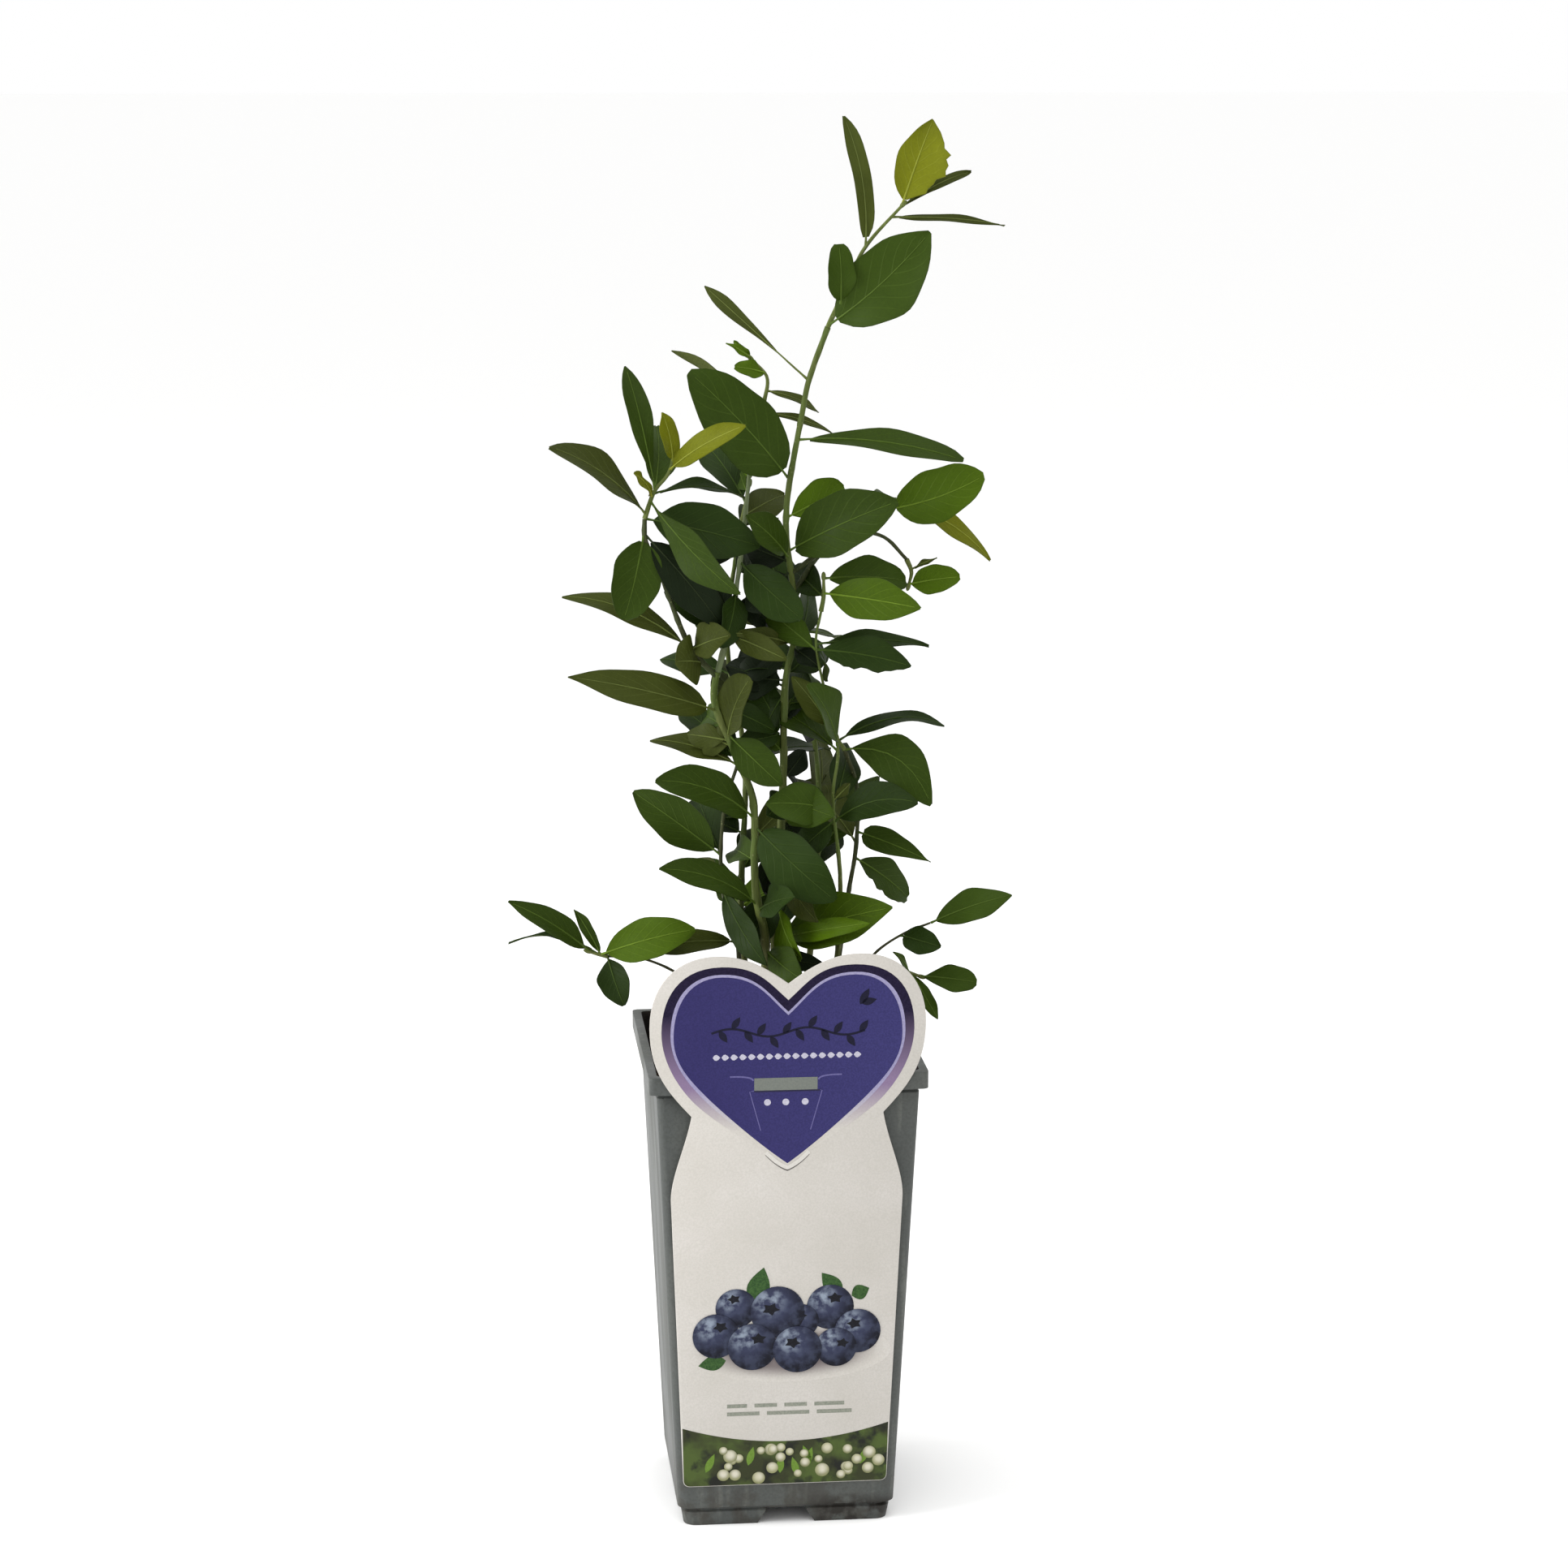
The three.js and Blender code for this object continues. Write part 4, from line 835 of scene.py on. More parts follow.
# The card's die-cut flap: a slot with the grey rim showing in it, and creases round the flap
SLOT_LEFT, SLOT_RIGHT, SLOT_Z = -13.2, 11.6, 187.2
SLOT_HALF = 2.6
SLOT_SHADOW_Z = SLOT_Z - 2.8
bar_bm = print_bm()
film(bar_bm, stroke([Vector((SLOT_LEFT, SLOT_Z)), Vector((SLOT_RIGHT, SLOT_Z))], SLOT_HALF), 4)
on_card("heart_bar", bar_bm, ink("grey_ink", paint(106, 110, 104), paint(92, 96, 92)))
arms_bm = print_bm()
for corner, out in ((SLOT_LEFT, -1), (SLOT_RIGHT, 1)):
    arm = [
        (corner + out * 0.4, SLOT_Z + 1.6), (corner + out * 0.8, SLOT_Z + 3.6),
        (corner + out * 9.5, SLOT_Z + 3.4),
    ]
    film(arms_bm, stroke([Vector(arm[0]), *bezier(*arm)], 0.32), 4)
    crease = [
        (corner + out * 0.2, SLOT_Z - SLOT_HALF), (corner + out * 1.8, SLOT_Z - 2.9),
        (corner - out * 2.6, SLOT_Z - 19),
    ]
    film(arms_bm, stroke([Vector(point) for point in crease], 0.18), 4)
on_card("heart_flap_creases", arms_bm, ink("lavender_ink", paint(92, 88, 134), paint(74, 70, 116)))
slot_bm = print_bm()
slot_line = [Vector((SLOT_LEFT, SLOT_SHADOW_Z)), Vector((SLOT_RIGHT + 1, SLOT_SHADOW_Z))]
film(slot_bm, stroke(slot_line, 0.3), 5)
on_card("heart_slot_shadow", slot_bm, ink("slot_shadow", paint(30, 28, 52), paint(40, 38, 62)))

# The heart's tip is cut free of the body: its lifted edge is a pale rim with a shadow under it
TIP_LOW = 152.6
tip_line = [Vector((x / 2, TIP_LOW + 0.2 * abs(x) + 0.011 * x * x)) for x in range(-17, 18)]
tip_bm = print_bm()
flat_piece(tip_bm, stroke(tip_line, 0.8), FILM * 2.5, FILM * 2.2)
on_card("heart_tip_rim", tip_bm, ink("cut_edge", paint(192, 189, 183), paint(178, 174, 168)))
slit_bm = print_bm()
film(slit_bm, stroke([point - Vector((0, 1.15)) for point in tip_line], 0.3), 1)
on_card("heart_tip_slit", slit_bm, ink("cut_shadow", paint(84, 81, 78), paint(112, 108, 104)))

# 1 within From of a place in the UV map, falling softly to 0 at To.
halo, halo_in, halo_out = node_group("halo", {"X": 0.0, "Y": 0.0, "From": 0.1, "To": 1.0}, ["Mask"])
halo_uv = halo.nodes.new("ShaderNodeUVMap")
halo_uv.uv_map = "UVMap"
halo_middle = halo.nodes.new("ShaderNodeCombineXYZ")
halo_reach = halo.nodes.new("ShaderNodeVectorMath")
halo_reach.operation = "DISTANCE"
halo_range = halo.nodes.new("ShaderNodeMapRange")
halo_range.interpolation_type = "SMOOTHSTEP"
halo_range.inputs["To Min"].default_value = 1
halo_range.inputs["To Max"].default_value = 0
halo.links.new(halo_in.outputs["X"], halo_middle.inputs["X"])
halo.links.new(halo_in.outputs["Y"], halo_middle.inputs["Y"])
halo.links.new(halo_uv.outputs["UV"], halo_reach.inputs[0])
halo.links.new(halo_middle.outputs["Vector"], halo_reach.inputs[1])
halo.links.new(halo_reach.outputs["Value"], halo_range.inputs["Value"])
halo.links.new(halo_in.outputs["From"], halo_range.inputs["From Min"])
halo.links.new(halo_in.outputs["To"], halo_range.inputs["From Max"])
halo.links.new(halo_range.outputs["Result"], halo_out.inputs["Mask"])

# Heap of blueberries: middle, radius and where each one's crown is on it, back ones first
BERRIES = [
    (-20, 94, 8.2, (-0.1, 0.48)), (17.5, 93.5, 9.4, (0.2, 0.4)), (6, 88, 7, (0, 0.3)),
    (-3.5, 92, 10.8, (-0.25, 0.12)), (-28, 82.5, 9.3, (0.2, 0.42)), (28.5, 83, 9.2, (-0.15, 0.35)),
    (-13.5, 77.5, 9.8, (0.25, 0.35)), (20, 76.5, 8.2, (0.3, 0.2)), (4.5, 76, 9.8, (-0.2, 0.3)),
]
CROWN_RAYS = 5
CROWN_REACH = (0.2, 0.34)
CROWN_SQUASH = 0.75
# Each printed leaf by the berries: its base, its tip and half its width
BERRY_LEAVES = [
    ((-13, 95), (-9, 111), 4.6), ((22, 98), (14, 108), 3.6), ((26, 98), (33, 101), 3.2),
    ((-24, 72), (-35, 70), 3.2),
]
SHADOW_MIDDLE = (1, 75)
SHADOW_REACH = (41, 13)

shadow_finish = Finish("berry_shadow", 0.5, 0.2)
shadow_soft = shadow_finish.mask(halo, From=0.45, To=0.97)
shadow_finish.colour(shadow_finish.blend(shadow_soft, card_ground(shadow_finish), paint(92, 82, 84), 0.9))
shadow_bm = print_bm()
shadow_oval = [
    Vector((SHADOW_MIDDLE[0] + p.x * SHADOW_REACH[0], SHADOW_MIDDLE[1] + p.y * SHADOW_REACH[1]))
    for p in disc((0, 0), 1, 48)
]
film(shadow_bm, shadow_oval, 1, 0, SHADOW_MIDDLE, SHADOW_REACH)
on_card("berry_shadow", shadow_bm, shadow_finish.material)

printed_leaves_bm = print_bm()
for base, tip, half_width in BERRY_LEAVES:
    film(printed_leaves_bm, printed_leaf(base, tip, half_width), 2)
on_card("printed_leaves", printed_leaves_bm, ink("leaf_ink", paint(34, 62, 28), paint(60, 90, 44), 0.7))

berry_finish = Finish("printed_berry", 0.5, 0.12)
berry_round = berry_finish.mask(halo, X=-0.2, Y=0.3, From=0.35, To=1.2)
berry_bloom = berry_finish.mask(halo, X=-0.35, Y=0.45, From=0.15, To=0.8)
berry_cloud = berry_finish.mask(mottle, Scale=300.0, Detail=5.0, Low=0.42, High=0.62)
berry_colour = berry_finish.blend(berry_round, paint(17, 18, 28), paint(48, 52, 74))
berry_colour = berry_finish.blend(berry_cloud, berry_colour, paint(66, 72, 94), 0.4)
berry_pale = berry_finish.times(berry_cloud, berry_bloom)
berry_finish.colour(berry_finish.blend(berry_pale, berry_colour, paint(128, 138, 152), 0.95))
berries_bm = print_bm()
for level, (x, z, radius, crown) in enumerate(BERRIES):
    film(berries_bm, disc((x, z), radius), 3 + level, 0, (x, z), (radius, radius))
    star = [
        Vector((x + crown[0] * radius, z + crown[1] * radius))
        + Vector((math.cos(a), CROWN_SQUASH * math.sin(a))) * radius * CROWN_REACH[i % 2]
        for i, a in enumerate(math.pi * k / CROWN_RAYS + level for k in range(2 * CROWN_RAYS))
    ]
    film(berries_bm, star, 3.5 + level, 1)
crown_ink = ink("crown_ink", paint(9, 9, 14), paint(26, 28, 38))
on_card("printed_berries", berries_bm, berry_finish.material, crown_ink)

# Two rows of plain bars: each row's height and its bars' lengths
BAR_ROWS = [(52.3, (8, 9, 9, 12)), (48.9, (13, 17, 14))]
BAR_LEFT = -23.5
BAR_GAP = 3
BAR_HALF = 0.8
bars_bm = print_bm()
for z, lengths in BAR_ROWS:
    x = BAR_LEFT
    for length in lengths:
        film(bars_bm, stroke([Vector((x, z)), Vector((x + length, z))], BAR_HALF), 1)
        x += length + BAR_GAP
on_card("plain_bars", bars_bm, ink("bar_ink", paint(112, 117, 106), paint(136, 137, 126), 0.8))

# Strip of garden blur: dark leafy ground, bright leaf shapes, and pale blossoms as soft discs
STRIP_BOTTOM = CARD_BOTTOM + 0.3
STRIP_ENDS = 43.4
STRIP_MIDDLE = 36.6
BRIGHT_LEAVES = 7
BLOSSOMS = 30
BLOSSOM_CLUSTERS = (-26, -4, 12, 28)
BLOSSOM_REACH = 37.5
strip_rng = random.Random(5)
card_side_foot = CARD_BOTTOM + CARD_CORNER
card_widens = (CARD_HALF_SHOULDER - CARD_HALF_BOTTOM) * (STRIP_ENDS - card_side_foot)
strip_half = CARD_HALF_BOTTOM + card_widens / (CARD_SIDE_TOP - card_side_foot)
strip_corner = (CARD_HALF_BOTTOM - CARD_CORNER, STRIP_BOTTOM)
strip_end = (strip_half - 0.6, STRIP_ENDS)
strip_outline = mirrored([
    Vector((0, STRIP_BOTTOM)),
    Vector(strip_corner),
    *bezier(strip_corner, (CARD_HALF_BOTTOM - 0.3, STRIP_BOTTOM), (CARD_HALF_BOTTOM - 0.2, card_side_foot)),
    Vector(strip_end),
    *bezier(strip_end, (strip_half * 0.5, STRIP_MIDDLE), (0, STRIP_MIDDLE)),
])
blur_finish = Finish("leafy_blur", 0.5, 0.12)
blur_green = blur_finish.mask(mottle, Scale=90.0, Detail=3.0, Low=0.42, High=0.62)
blur_dark = blur_finish.mask(mottle, Scale=130.0, Detail=4.0, Low=0.5, High=0.62)
blur_colour = blur_finish.blend(blur_green, paint(48, 52, 32), paint(68, 82, 40))
blur_finish.colour(blur_finish.blend(blur_dark, blur_colour, paint(28, 29, 27), 0.9))
strip_bm = print_bm()
film(strip_bm, strip_outline, 1)
on_card("blur_strip", strip_bm, blur_finish.material)
glow_bm = print_bm()
for i in range(BRIGHT_LEAVES):
    x = strip_rng.uniform(-34, 34)
    z = strip_rng.uniform(21.5, 27)
    film(glow_bm, printed_leaf((x, z), (x + strip_rng.uniform(-4, 4), z + 8), 1.5, 6), 2)
on_card("bright_leaves", glow_bm, ink("bright_leaf_ink", paint(86, 116, 38), paint(106, 130, 58)))
blossom_finish = Finish("blossom_spots", 0.5, 0.12)
blossom_soft = blossom_finish.mask(halo, Y=0.2, From=0.2, To=1.15)
blossom_cloud = blossom_finish.mask(mottle, Scale=260.0, Detail=3.0, Low=0.4, High=0.6)
blossom_colour = blossom_finish.blend(blossom_soft, paint(110, 112, 78), paint(190, 186, 170))
blossom_finish.colour(blossom_finish.blend(blossom_cloud, blossom_colour, paint(156, 156, 112), 0.35))
blossom_bm = print_bm()
for i in range(BLOSSOMS):
    cluster = BLOSSOM_CLUSTERS[i % len(BLOSSOM_CLUSTERS)]
    x = max(-BLOSSOM_REACH, min(BLOSSOM_REACH, strip_rng.gauss(cluster, 6)))
    z = strip_rng.uniform(20.8, 34)
    radius = strip_rng.uniform(1.6, 2.9)
    film(blossom_bm, disc((x, z), radius, 18), 3 + 0.1 * i, 0, (x, z), (radius, radius))
on_card("blossom_spots", blossom_bm, blossom_finish.material)


# ---------------------------------------------------------------- stems and boughs
# Seven green shoots rise from the soil, flared at the foot, and eight thinner boughs leave them or
# the soil. Their bark is smooth and olive, ridged along its length and swollen a little at the buds.

FOOT = SOIL_TOP - 2.5
FLARE = 1.7
FLARE_HEIGHT = 14
SLIMMING = 2.0
LIMB_STEP = 2.2
LIMB_SIDES = 12
BARK_RIDGES = 0.16
BUD_SPACING = 19
BUD_SWELL = 0.16
BUD_REACH = 1.8
FIRST_RISE = 0.1
# Each limb: its radius at foot and tip, its bark by its place in BARKS, and its path. A forked one
# starts in another limb.
LIMBS = {
    "stem_main": (2.4, 1.1, 0, [
        (1, 2, FOOT), (0, 3, 223), (3, 2, 293), (4, 1, 337), (8, 0, 359), (4, 0, 402), (10, 0, 441),
        (13, 0, 456), (20, -4, 477),
    ]),
    "stem_left": (2.1, 1.4, 0, [
        (-10, -5, FOOT), (-5, -8, 231), (-9, -8, 254), (-10, -7, 291), (-16, -7, 307), (-25, -6, 331),
        (-24, -6, 342),
    ]),
    "stem_right": (1.8, 0.5, 0, [
        (14, -6, FOOT), (24, -8, 227), (25, -8, 258), (22, -8, 292), (24, -8, 310), (19, -9, 332),
        (15, -9, 354), (17, -9, 366),
    ]),
    "stem_right_thin": (1.4, 0.8, 2, [
        (20, 6, FOOT), (30, 6, 249), (33, 6, 268), (33, 5, 293), (28, 4, 308),
    ]),
    "stem_left_thin": (1.4, 0.7, 2, [
        (-13, 8, FOOT), (-15, 8, 229), (-21, 8, 252), (-20, 7, 285), (-15, 6, 302),
    ]),
    "stem_back_left": (1.9, 0.9, 0, [
        (-5, 15, FOOT), (-12, 24, 230), (-10, 28, 300), (-17, 30, 350), (-12, 28, 392),
    ]),
    "stem_back_right": (1.8, 0.9, 0, [(9, 14, FOOT), (17, 22, 230), (20, 28, 290), (14, 30, 340)]),
    "bough_left_outer": (1.2, 0.9, 2, [
        (-24, -6, 340), (-34, -7, 351), (-39, -8, 362), (-47, -8, 384), (-52, -6, 395), (-52, -5, 403),
    ]),
    "bough_left_inner": (1.3, 0.8, 1, [
        (-24, -6, 340), (-21, -4, 351), (-18, -2, 361), (-12, 2, 402), (-9, 4, 432),
    ]),
    "bough_right_upper": (1.1, 0.8, 2, [(7, 0, 372), (18, 8, 386), (32, 9, 397), (42, 7, 402)]),
    "bough_right_mid": (1.0, 0.7, 2, [
        (6, 0, 380), (20, -3, 390), (34, -3, 396), (43, -1, 394), (52, 0, 385),
    ]),
    "bough_low_left": (1.2, 0.5, 2, [
        (-18, -4, FOOT), (-22, -5, 200), (-38, -4, 218), (-55, -3, 226), (-68, -3, 227),
    ]),
    "bough_low_right": (1.1, 0.45, 2, [
        (23, -5, FOOT), (28, -6, 205), (38, -6, 225), (51, -5, 234), (62, -4, 238),
    ]),
    "bough_low_right_rear": (1.0, 0.45, 2, [
        (21, 15, FOOT), (32, 16, 196), (44, 14, 211), (54, 12, 214),
    ]),
    "bough_low_back": (1.2, 0.7, 2, [(1, 22, FOOT), (2, 34, 205), (-3, 48, 222), (-8, 58, 230)]),
}
FORKED = {"bough_left_outer", "bough_left_inner", "bough_right_upper", "bough_right_mid"}


def smooth_path(corners, step):
    """Places a step apart on the centripetal curve through the corners, in millimetres."""
    points = [Vector(corner) for corner in corners]
    points = [points[0] * 2 - points[1], *points, points[-1] * 2 - points[-2]]
    fine = [points[1]]
    for p0, p1, p2, p3 in zip(points, points[1:], points[2:], points[3:]):
        d0, d1, d2 = ((b - a).length ** 0.5 for a, b in ((p0, p1), (p1, p2), (p2, p3)))
        leave = ((p1 - p0) / d0 - (p2 - p0) / (d0 + d1) + (p2 - p1) / d1) * d1
        arrive = ((p2 - p1) / d1 - (p3 - p1) / (d1 + d2) + (p3 - p2) / d2) * d1
        pieces = max(2, round((p2 - p1).length / (step / 2)))
        for i in range(1, pieces + 1):
            t = i / pieces
            fine.append(
                p1 * (2 * t**3 - 3 * t**2 + 1) + leave * (t**3 - 2 * t**2 + t)
                + p2 * (3 * t**2 - 2 * t**3) + arrive * (t**3 - t**2)
            )
    walked = [0.0]
    for a, b in zip(fine, fine[1:]):
        walked.append(walked[-1] + (b - a).length)
    count = max(2, round(walked[-1] / step))
    places = []
    at = 0
    for i in range(count + 1):
        goal = walked[-1] * i / count
        while at < len(fine) - 2 and walked[at + 1] < goal:
            at += 1
        share = (goal - walked[at]) / max(1e-9, walked[at + 1] - walked[at])
        places.append(fine[at].lerp(fine[at + 1], min(1, share)))
    return places, walked[-1]


def sweep_tube(bm, places, radius_at, sides, relief=0.0, material_index=0):
    """A tapering tube through places, in millimetres, closed at both ends.

    Its radius is radius_at of the share of its length, and relief is how deep its ridges are.
    """
    count = len(places) - 1
    across = Vector((1, 0.13, 0.07))
    before = None
    rings = []
    ring_verts = bmesh.ops.create_circle(bm, cap_ends=True, segments=sides, radius=1)["verts"]
    made = {f for vert in ring_verts for f in vert.link_faces}
    edges = list({edge for vert in ring_verts for edge in vert.link_edges})
    for i, centre in enumerate(places):
        along = (places[min(i + 1, count)] - places[max(i - 1, 0)]).normalized()
        across = (across - along * across.dot(along)).normalized()
        third = along.cross(across)
        radius = radius_at(i / count)
        turned = Matrix((across * radius, third * radius, along)).transposed().to_4x4()
        frame_now = Matrix.Translation(centre) @ turned
        if i:
            grown = bmesh.ops.extrude_edge_only(bm, edges=edges)["geom"]
            ring_verts = [item for item in grown if isinstance(item, bmesh.types.BMVert)]
            fresh = set(ring_verts)
            edges = [e for e in grown if isinstance(e, bmesh.types.BMEdge) and set(e.verts) <= fresh]
            made |= {item for item in grown if isinstance(item, bmesh.types.BMFace)}
        shift = frame_now if before is None else frame_now @ before.inverted()
        bmesh.ops.transform(bm, matrix=shift, verts=ring_verts)
        before = frame_now
        rings.append((centre, ring_verts))
    made |= set(bmesh.ops.contextual_create(bm, geom=edges)["faces"])
    for centre, verts in rings:
        for vert in verts:
            out = vert.co - centre
            if relief:
                ridge = noise.fractal(Vector((out.x * 1.6, out.y * 1.6, vert.co.z * 0.11)), 0.7, 2.0, 4)
                out *= 1 + relief * ridge
            vert.co = spot(*(centre + out))
    for face in made:
        face.material_index = material_index
    bmesh.ops.recalc_face_normals(bm, faces=list(made))


def limb_radius(name, share, length):
    """A limb's radius, with the flare at its foot and a slight swelling at each bud."""
    foot, tip, _, _ = LIMBS[name]
    plain = tip + (foot - tip) * (1 - share) ** SLIMMING
    flare = max(0.0, 1 - share * length / FLARE_HEIGHT) if name not in FORKED else 0.0
    from_bud = (share * length) % BUD_SPACING - BUD_SPACING / 2
    swell = BUD_SWELL * math.exp(-((from_bud / BUD_REACH) ** 2))
    return plain * (1 + (FLARE - 1) * flare**2) * (1 + swell)


def bark(name, young, old, streak):
    """Olive bark, browner near the soil, streaked along the shoot and dotted with pale pores."""
    finish = Finish(name, 0.65, 0.16)
    streaks = finish.mask(mottle, Scale=520.0, Detail=5.0, Stretch=0.12, Low=0.38, High=0.64)
    patches = finish.mask(mottle, Scale=55.0, Detail=3.0, Low=0.4, High=0.66)
    near_soil = finish.mask(ramp, Z=1.0, From=0.27, To=0.17)
    pores = finish.add("ShaderNodeTexVoronoi")
    pores.inputs["Scale"].default_value = 420.0
    place = finish.add("ShaderNodeTexCoord")
    finish.join(place.outputs["Object"], pores.inputs["Vector"])
    dots = finish.add("ShaderNodeMapRange")
    dots.inputs["From Min"].default_value = 0.1
    dots.inputs["From Max"].default_value = 0.2
    dots.inputs["To Min"].default_value = 1
    dots.inputs["To Max"].default_value = 0
    finish.join(pores.outputs["Distance"], dots.inputs["Value"])
    colour = finish.blend(near_soil, young, old, 0.8)
    colour = finish.blend(patches, colour, old, 0.3)
    colour = finish.blend(streaks, colour, streak, 0.5)
    colour = finish.blend(dots.outputs["Result"], colour, paint(130, 134, 92), 0.3)
    finish.colour(colour)
    finish.rough(streaks, 0.5, 0.75)
    finish.relief(streaks, 0.25, 0.6)
    return finish.material


BARKS = [
    bark("olive_bark", paint(76, 91, 38), paint(84, 72, 44), paint(50, 62, 24)),
    bark("pale_bark", paint(110, 122, 88), paint(94, 90, 64), paint(80, 94, 60)),
    bark("dark_bark", paint(52, 61, 30), paint(66, 54, 38), paint(34, 40, 20)),
]

limb_places = {}
stems_bm = bmesh.new()
for name, (_, _, tone, corners) in LIMBS.items():
    if name not in FORKED:
        # A shoot from the soil rises upright at first
        first, second = Vector(corners[0]), Vector(corners[1])
        corners = [corners[0], (first.x, first.y, first.lerp(second, FIRST_RISE).z), *corners[1:]]
    places, length = smooth_path(corners, LIMB_STEP)
    limb_places[name] = (places, length)
    sweep_tube(
        stems_bm, places, lambda share: limb_radius(name, share, length), LIMB_SIDES, BARK_RIDGES, tone,
    )
stems = to_object("stems_and_boughs", stems_bm, *BARKS)
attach(stems, "root")
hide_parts(*LIMBS)


# ---------------------------------------------------------------- leaves, stalks and twigs
# Simple leaves, oval and pointed, on short stalks: each is a thin curved blade folded a little along
# its pale midrib, green above and paler beneath. Each spray's leaves grow from a limb, or from the
# short twig past its tip, and more grow towards the back in a spiral. They are joined by colour.

BLADE_THICK = 0.32
BLADE_ALONG = 16
BLADE_ACROSS = 6
STALK_SHARE = 0.07
LEAST_HALF = 0.02
FOLD_CURVE = 1.4
WAVES = 9
RIPPLE, RIPPLES = 0.035, 15
BITE_DEPTH, BITE_LEAST, BITES = 1.6, 0.1, 7.5
RAGGED_FROM, RAGGED_END = 0.3, 0.9
RIB_PLACES = (0, 0.05, 0.12, 0.25, 0.4, 0.55, 0.7, 0.84, 0.95)
RIB_FOOT, RIB_TAPER, RIB_SIDES = 0.62, 0.5, 5
UPRIGHT = 0.9
# A leaf's shape where its row states no other, and what is drawn for each leaf: its twist in degrees,
# its fold along the midrib, where its waves start, and its tone.
PLAIN_LEAF = dict(
    arch=0.06, sweep=0.0, hook=0.03, belly=0.46, full=0.7, blunt=0.7, lean=0.0, wave=0.9, ragged=0.0,
    twist=None, tone=None, behind=0,
)
LEAF_DRAWS = {"twist": (-14, 14), "fold": (0.1, 0.34), "phase": (0, 6.28), "tone": (0, 1)}
# Each tint: upper side, underside and midrib.
TINTS = {
    # The inner tint is painted shade: a near-black green for leaves deep in the bush, where shade falls
    "inner": (paint(17, 27, 9), paint(30, 38, 18), paint(34, 44, 20)),
    "deep": (paint(30, 47, 5), paint(60, 72, 28), paint(52, 70, 22)),
    "mid": (paint(44, 62, 5), paint(72, 84, 34), paint(70, 90, 28)),
    "fresh": (paint(64, 87, 2), paint(88, 104, 32), paint(96, 120, 34)),
    "young": (paint(100, 105, 8), paint(116, 112, 36), paint(128, 134, 46)),
    "olive": (paint(57, 65, 18), paint(80, 88, 44), paint(88, 98, 46)),
}


def leaf(at, tip, width, face, tint, **shape):
    """One leaf: where it sits, its tip's offset, its width, its face and its tint.

    Its face is the way that its upper side looks, in degrees: 0 to the front, 90 to the sky and 180 to
    the back. Its shape may state: arch, sweep and hook, how it bows upwards, sideways and at its tip;
    belly, where it is widest; full and blunt, how round its base and its tip are; lean, how much wider
    one half is than the other; wave, twist and ragged, how uneven it is; tone, from its tint's dark to
    its light; and behind, how much further back than its limb it sits.
    """
    shape = {**PLAIN_LEAF, **shape}
    return SimpleNamespace(at=at, tip=Vector(tip), width=width, face=face, tint=tint, **shape)


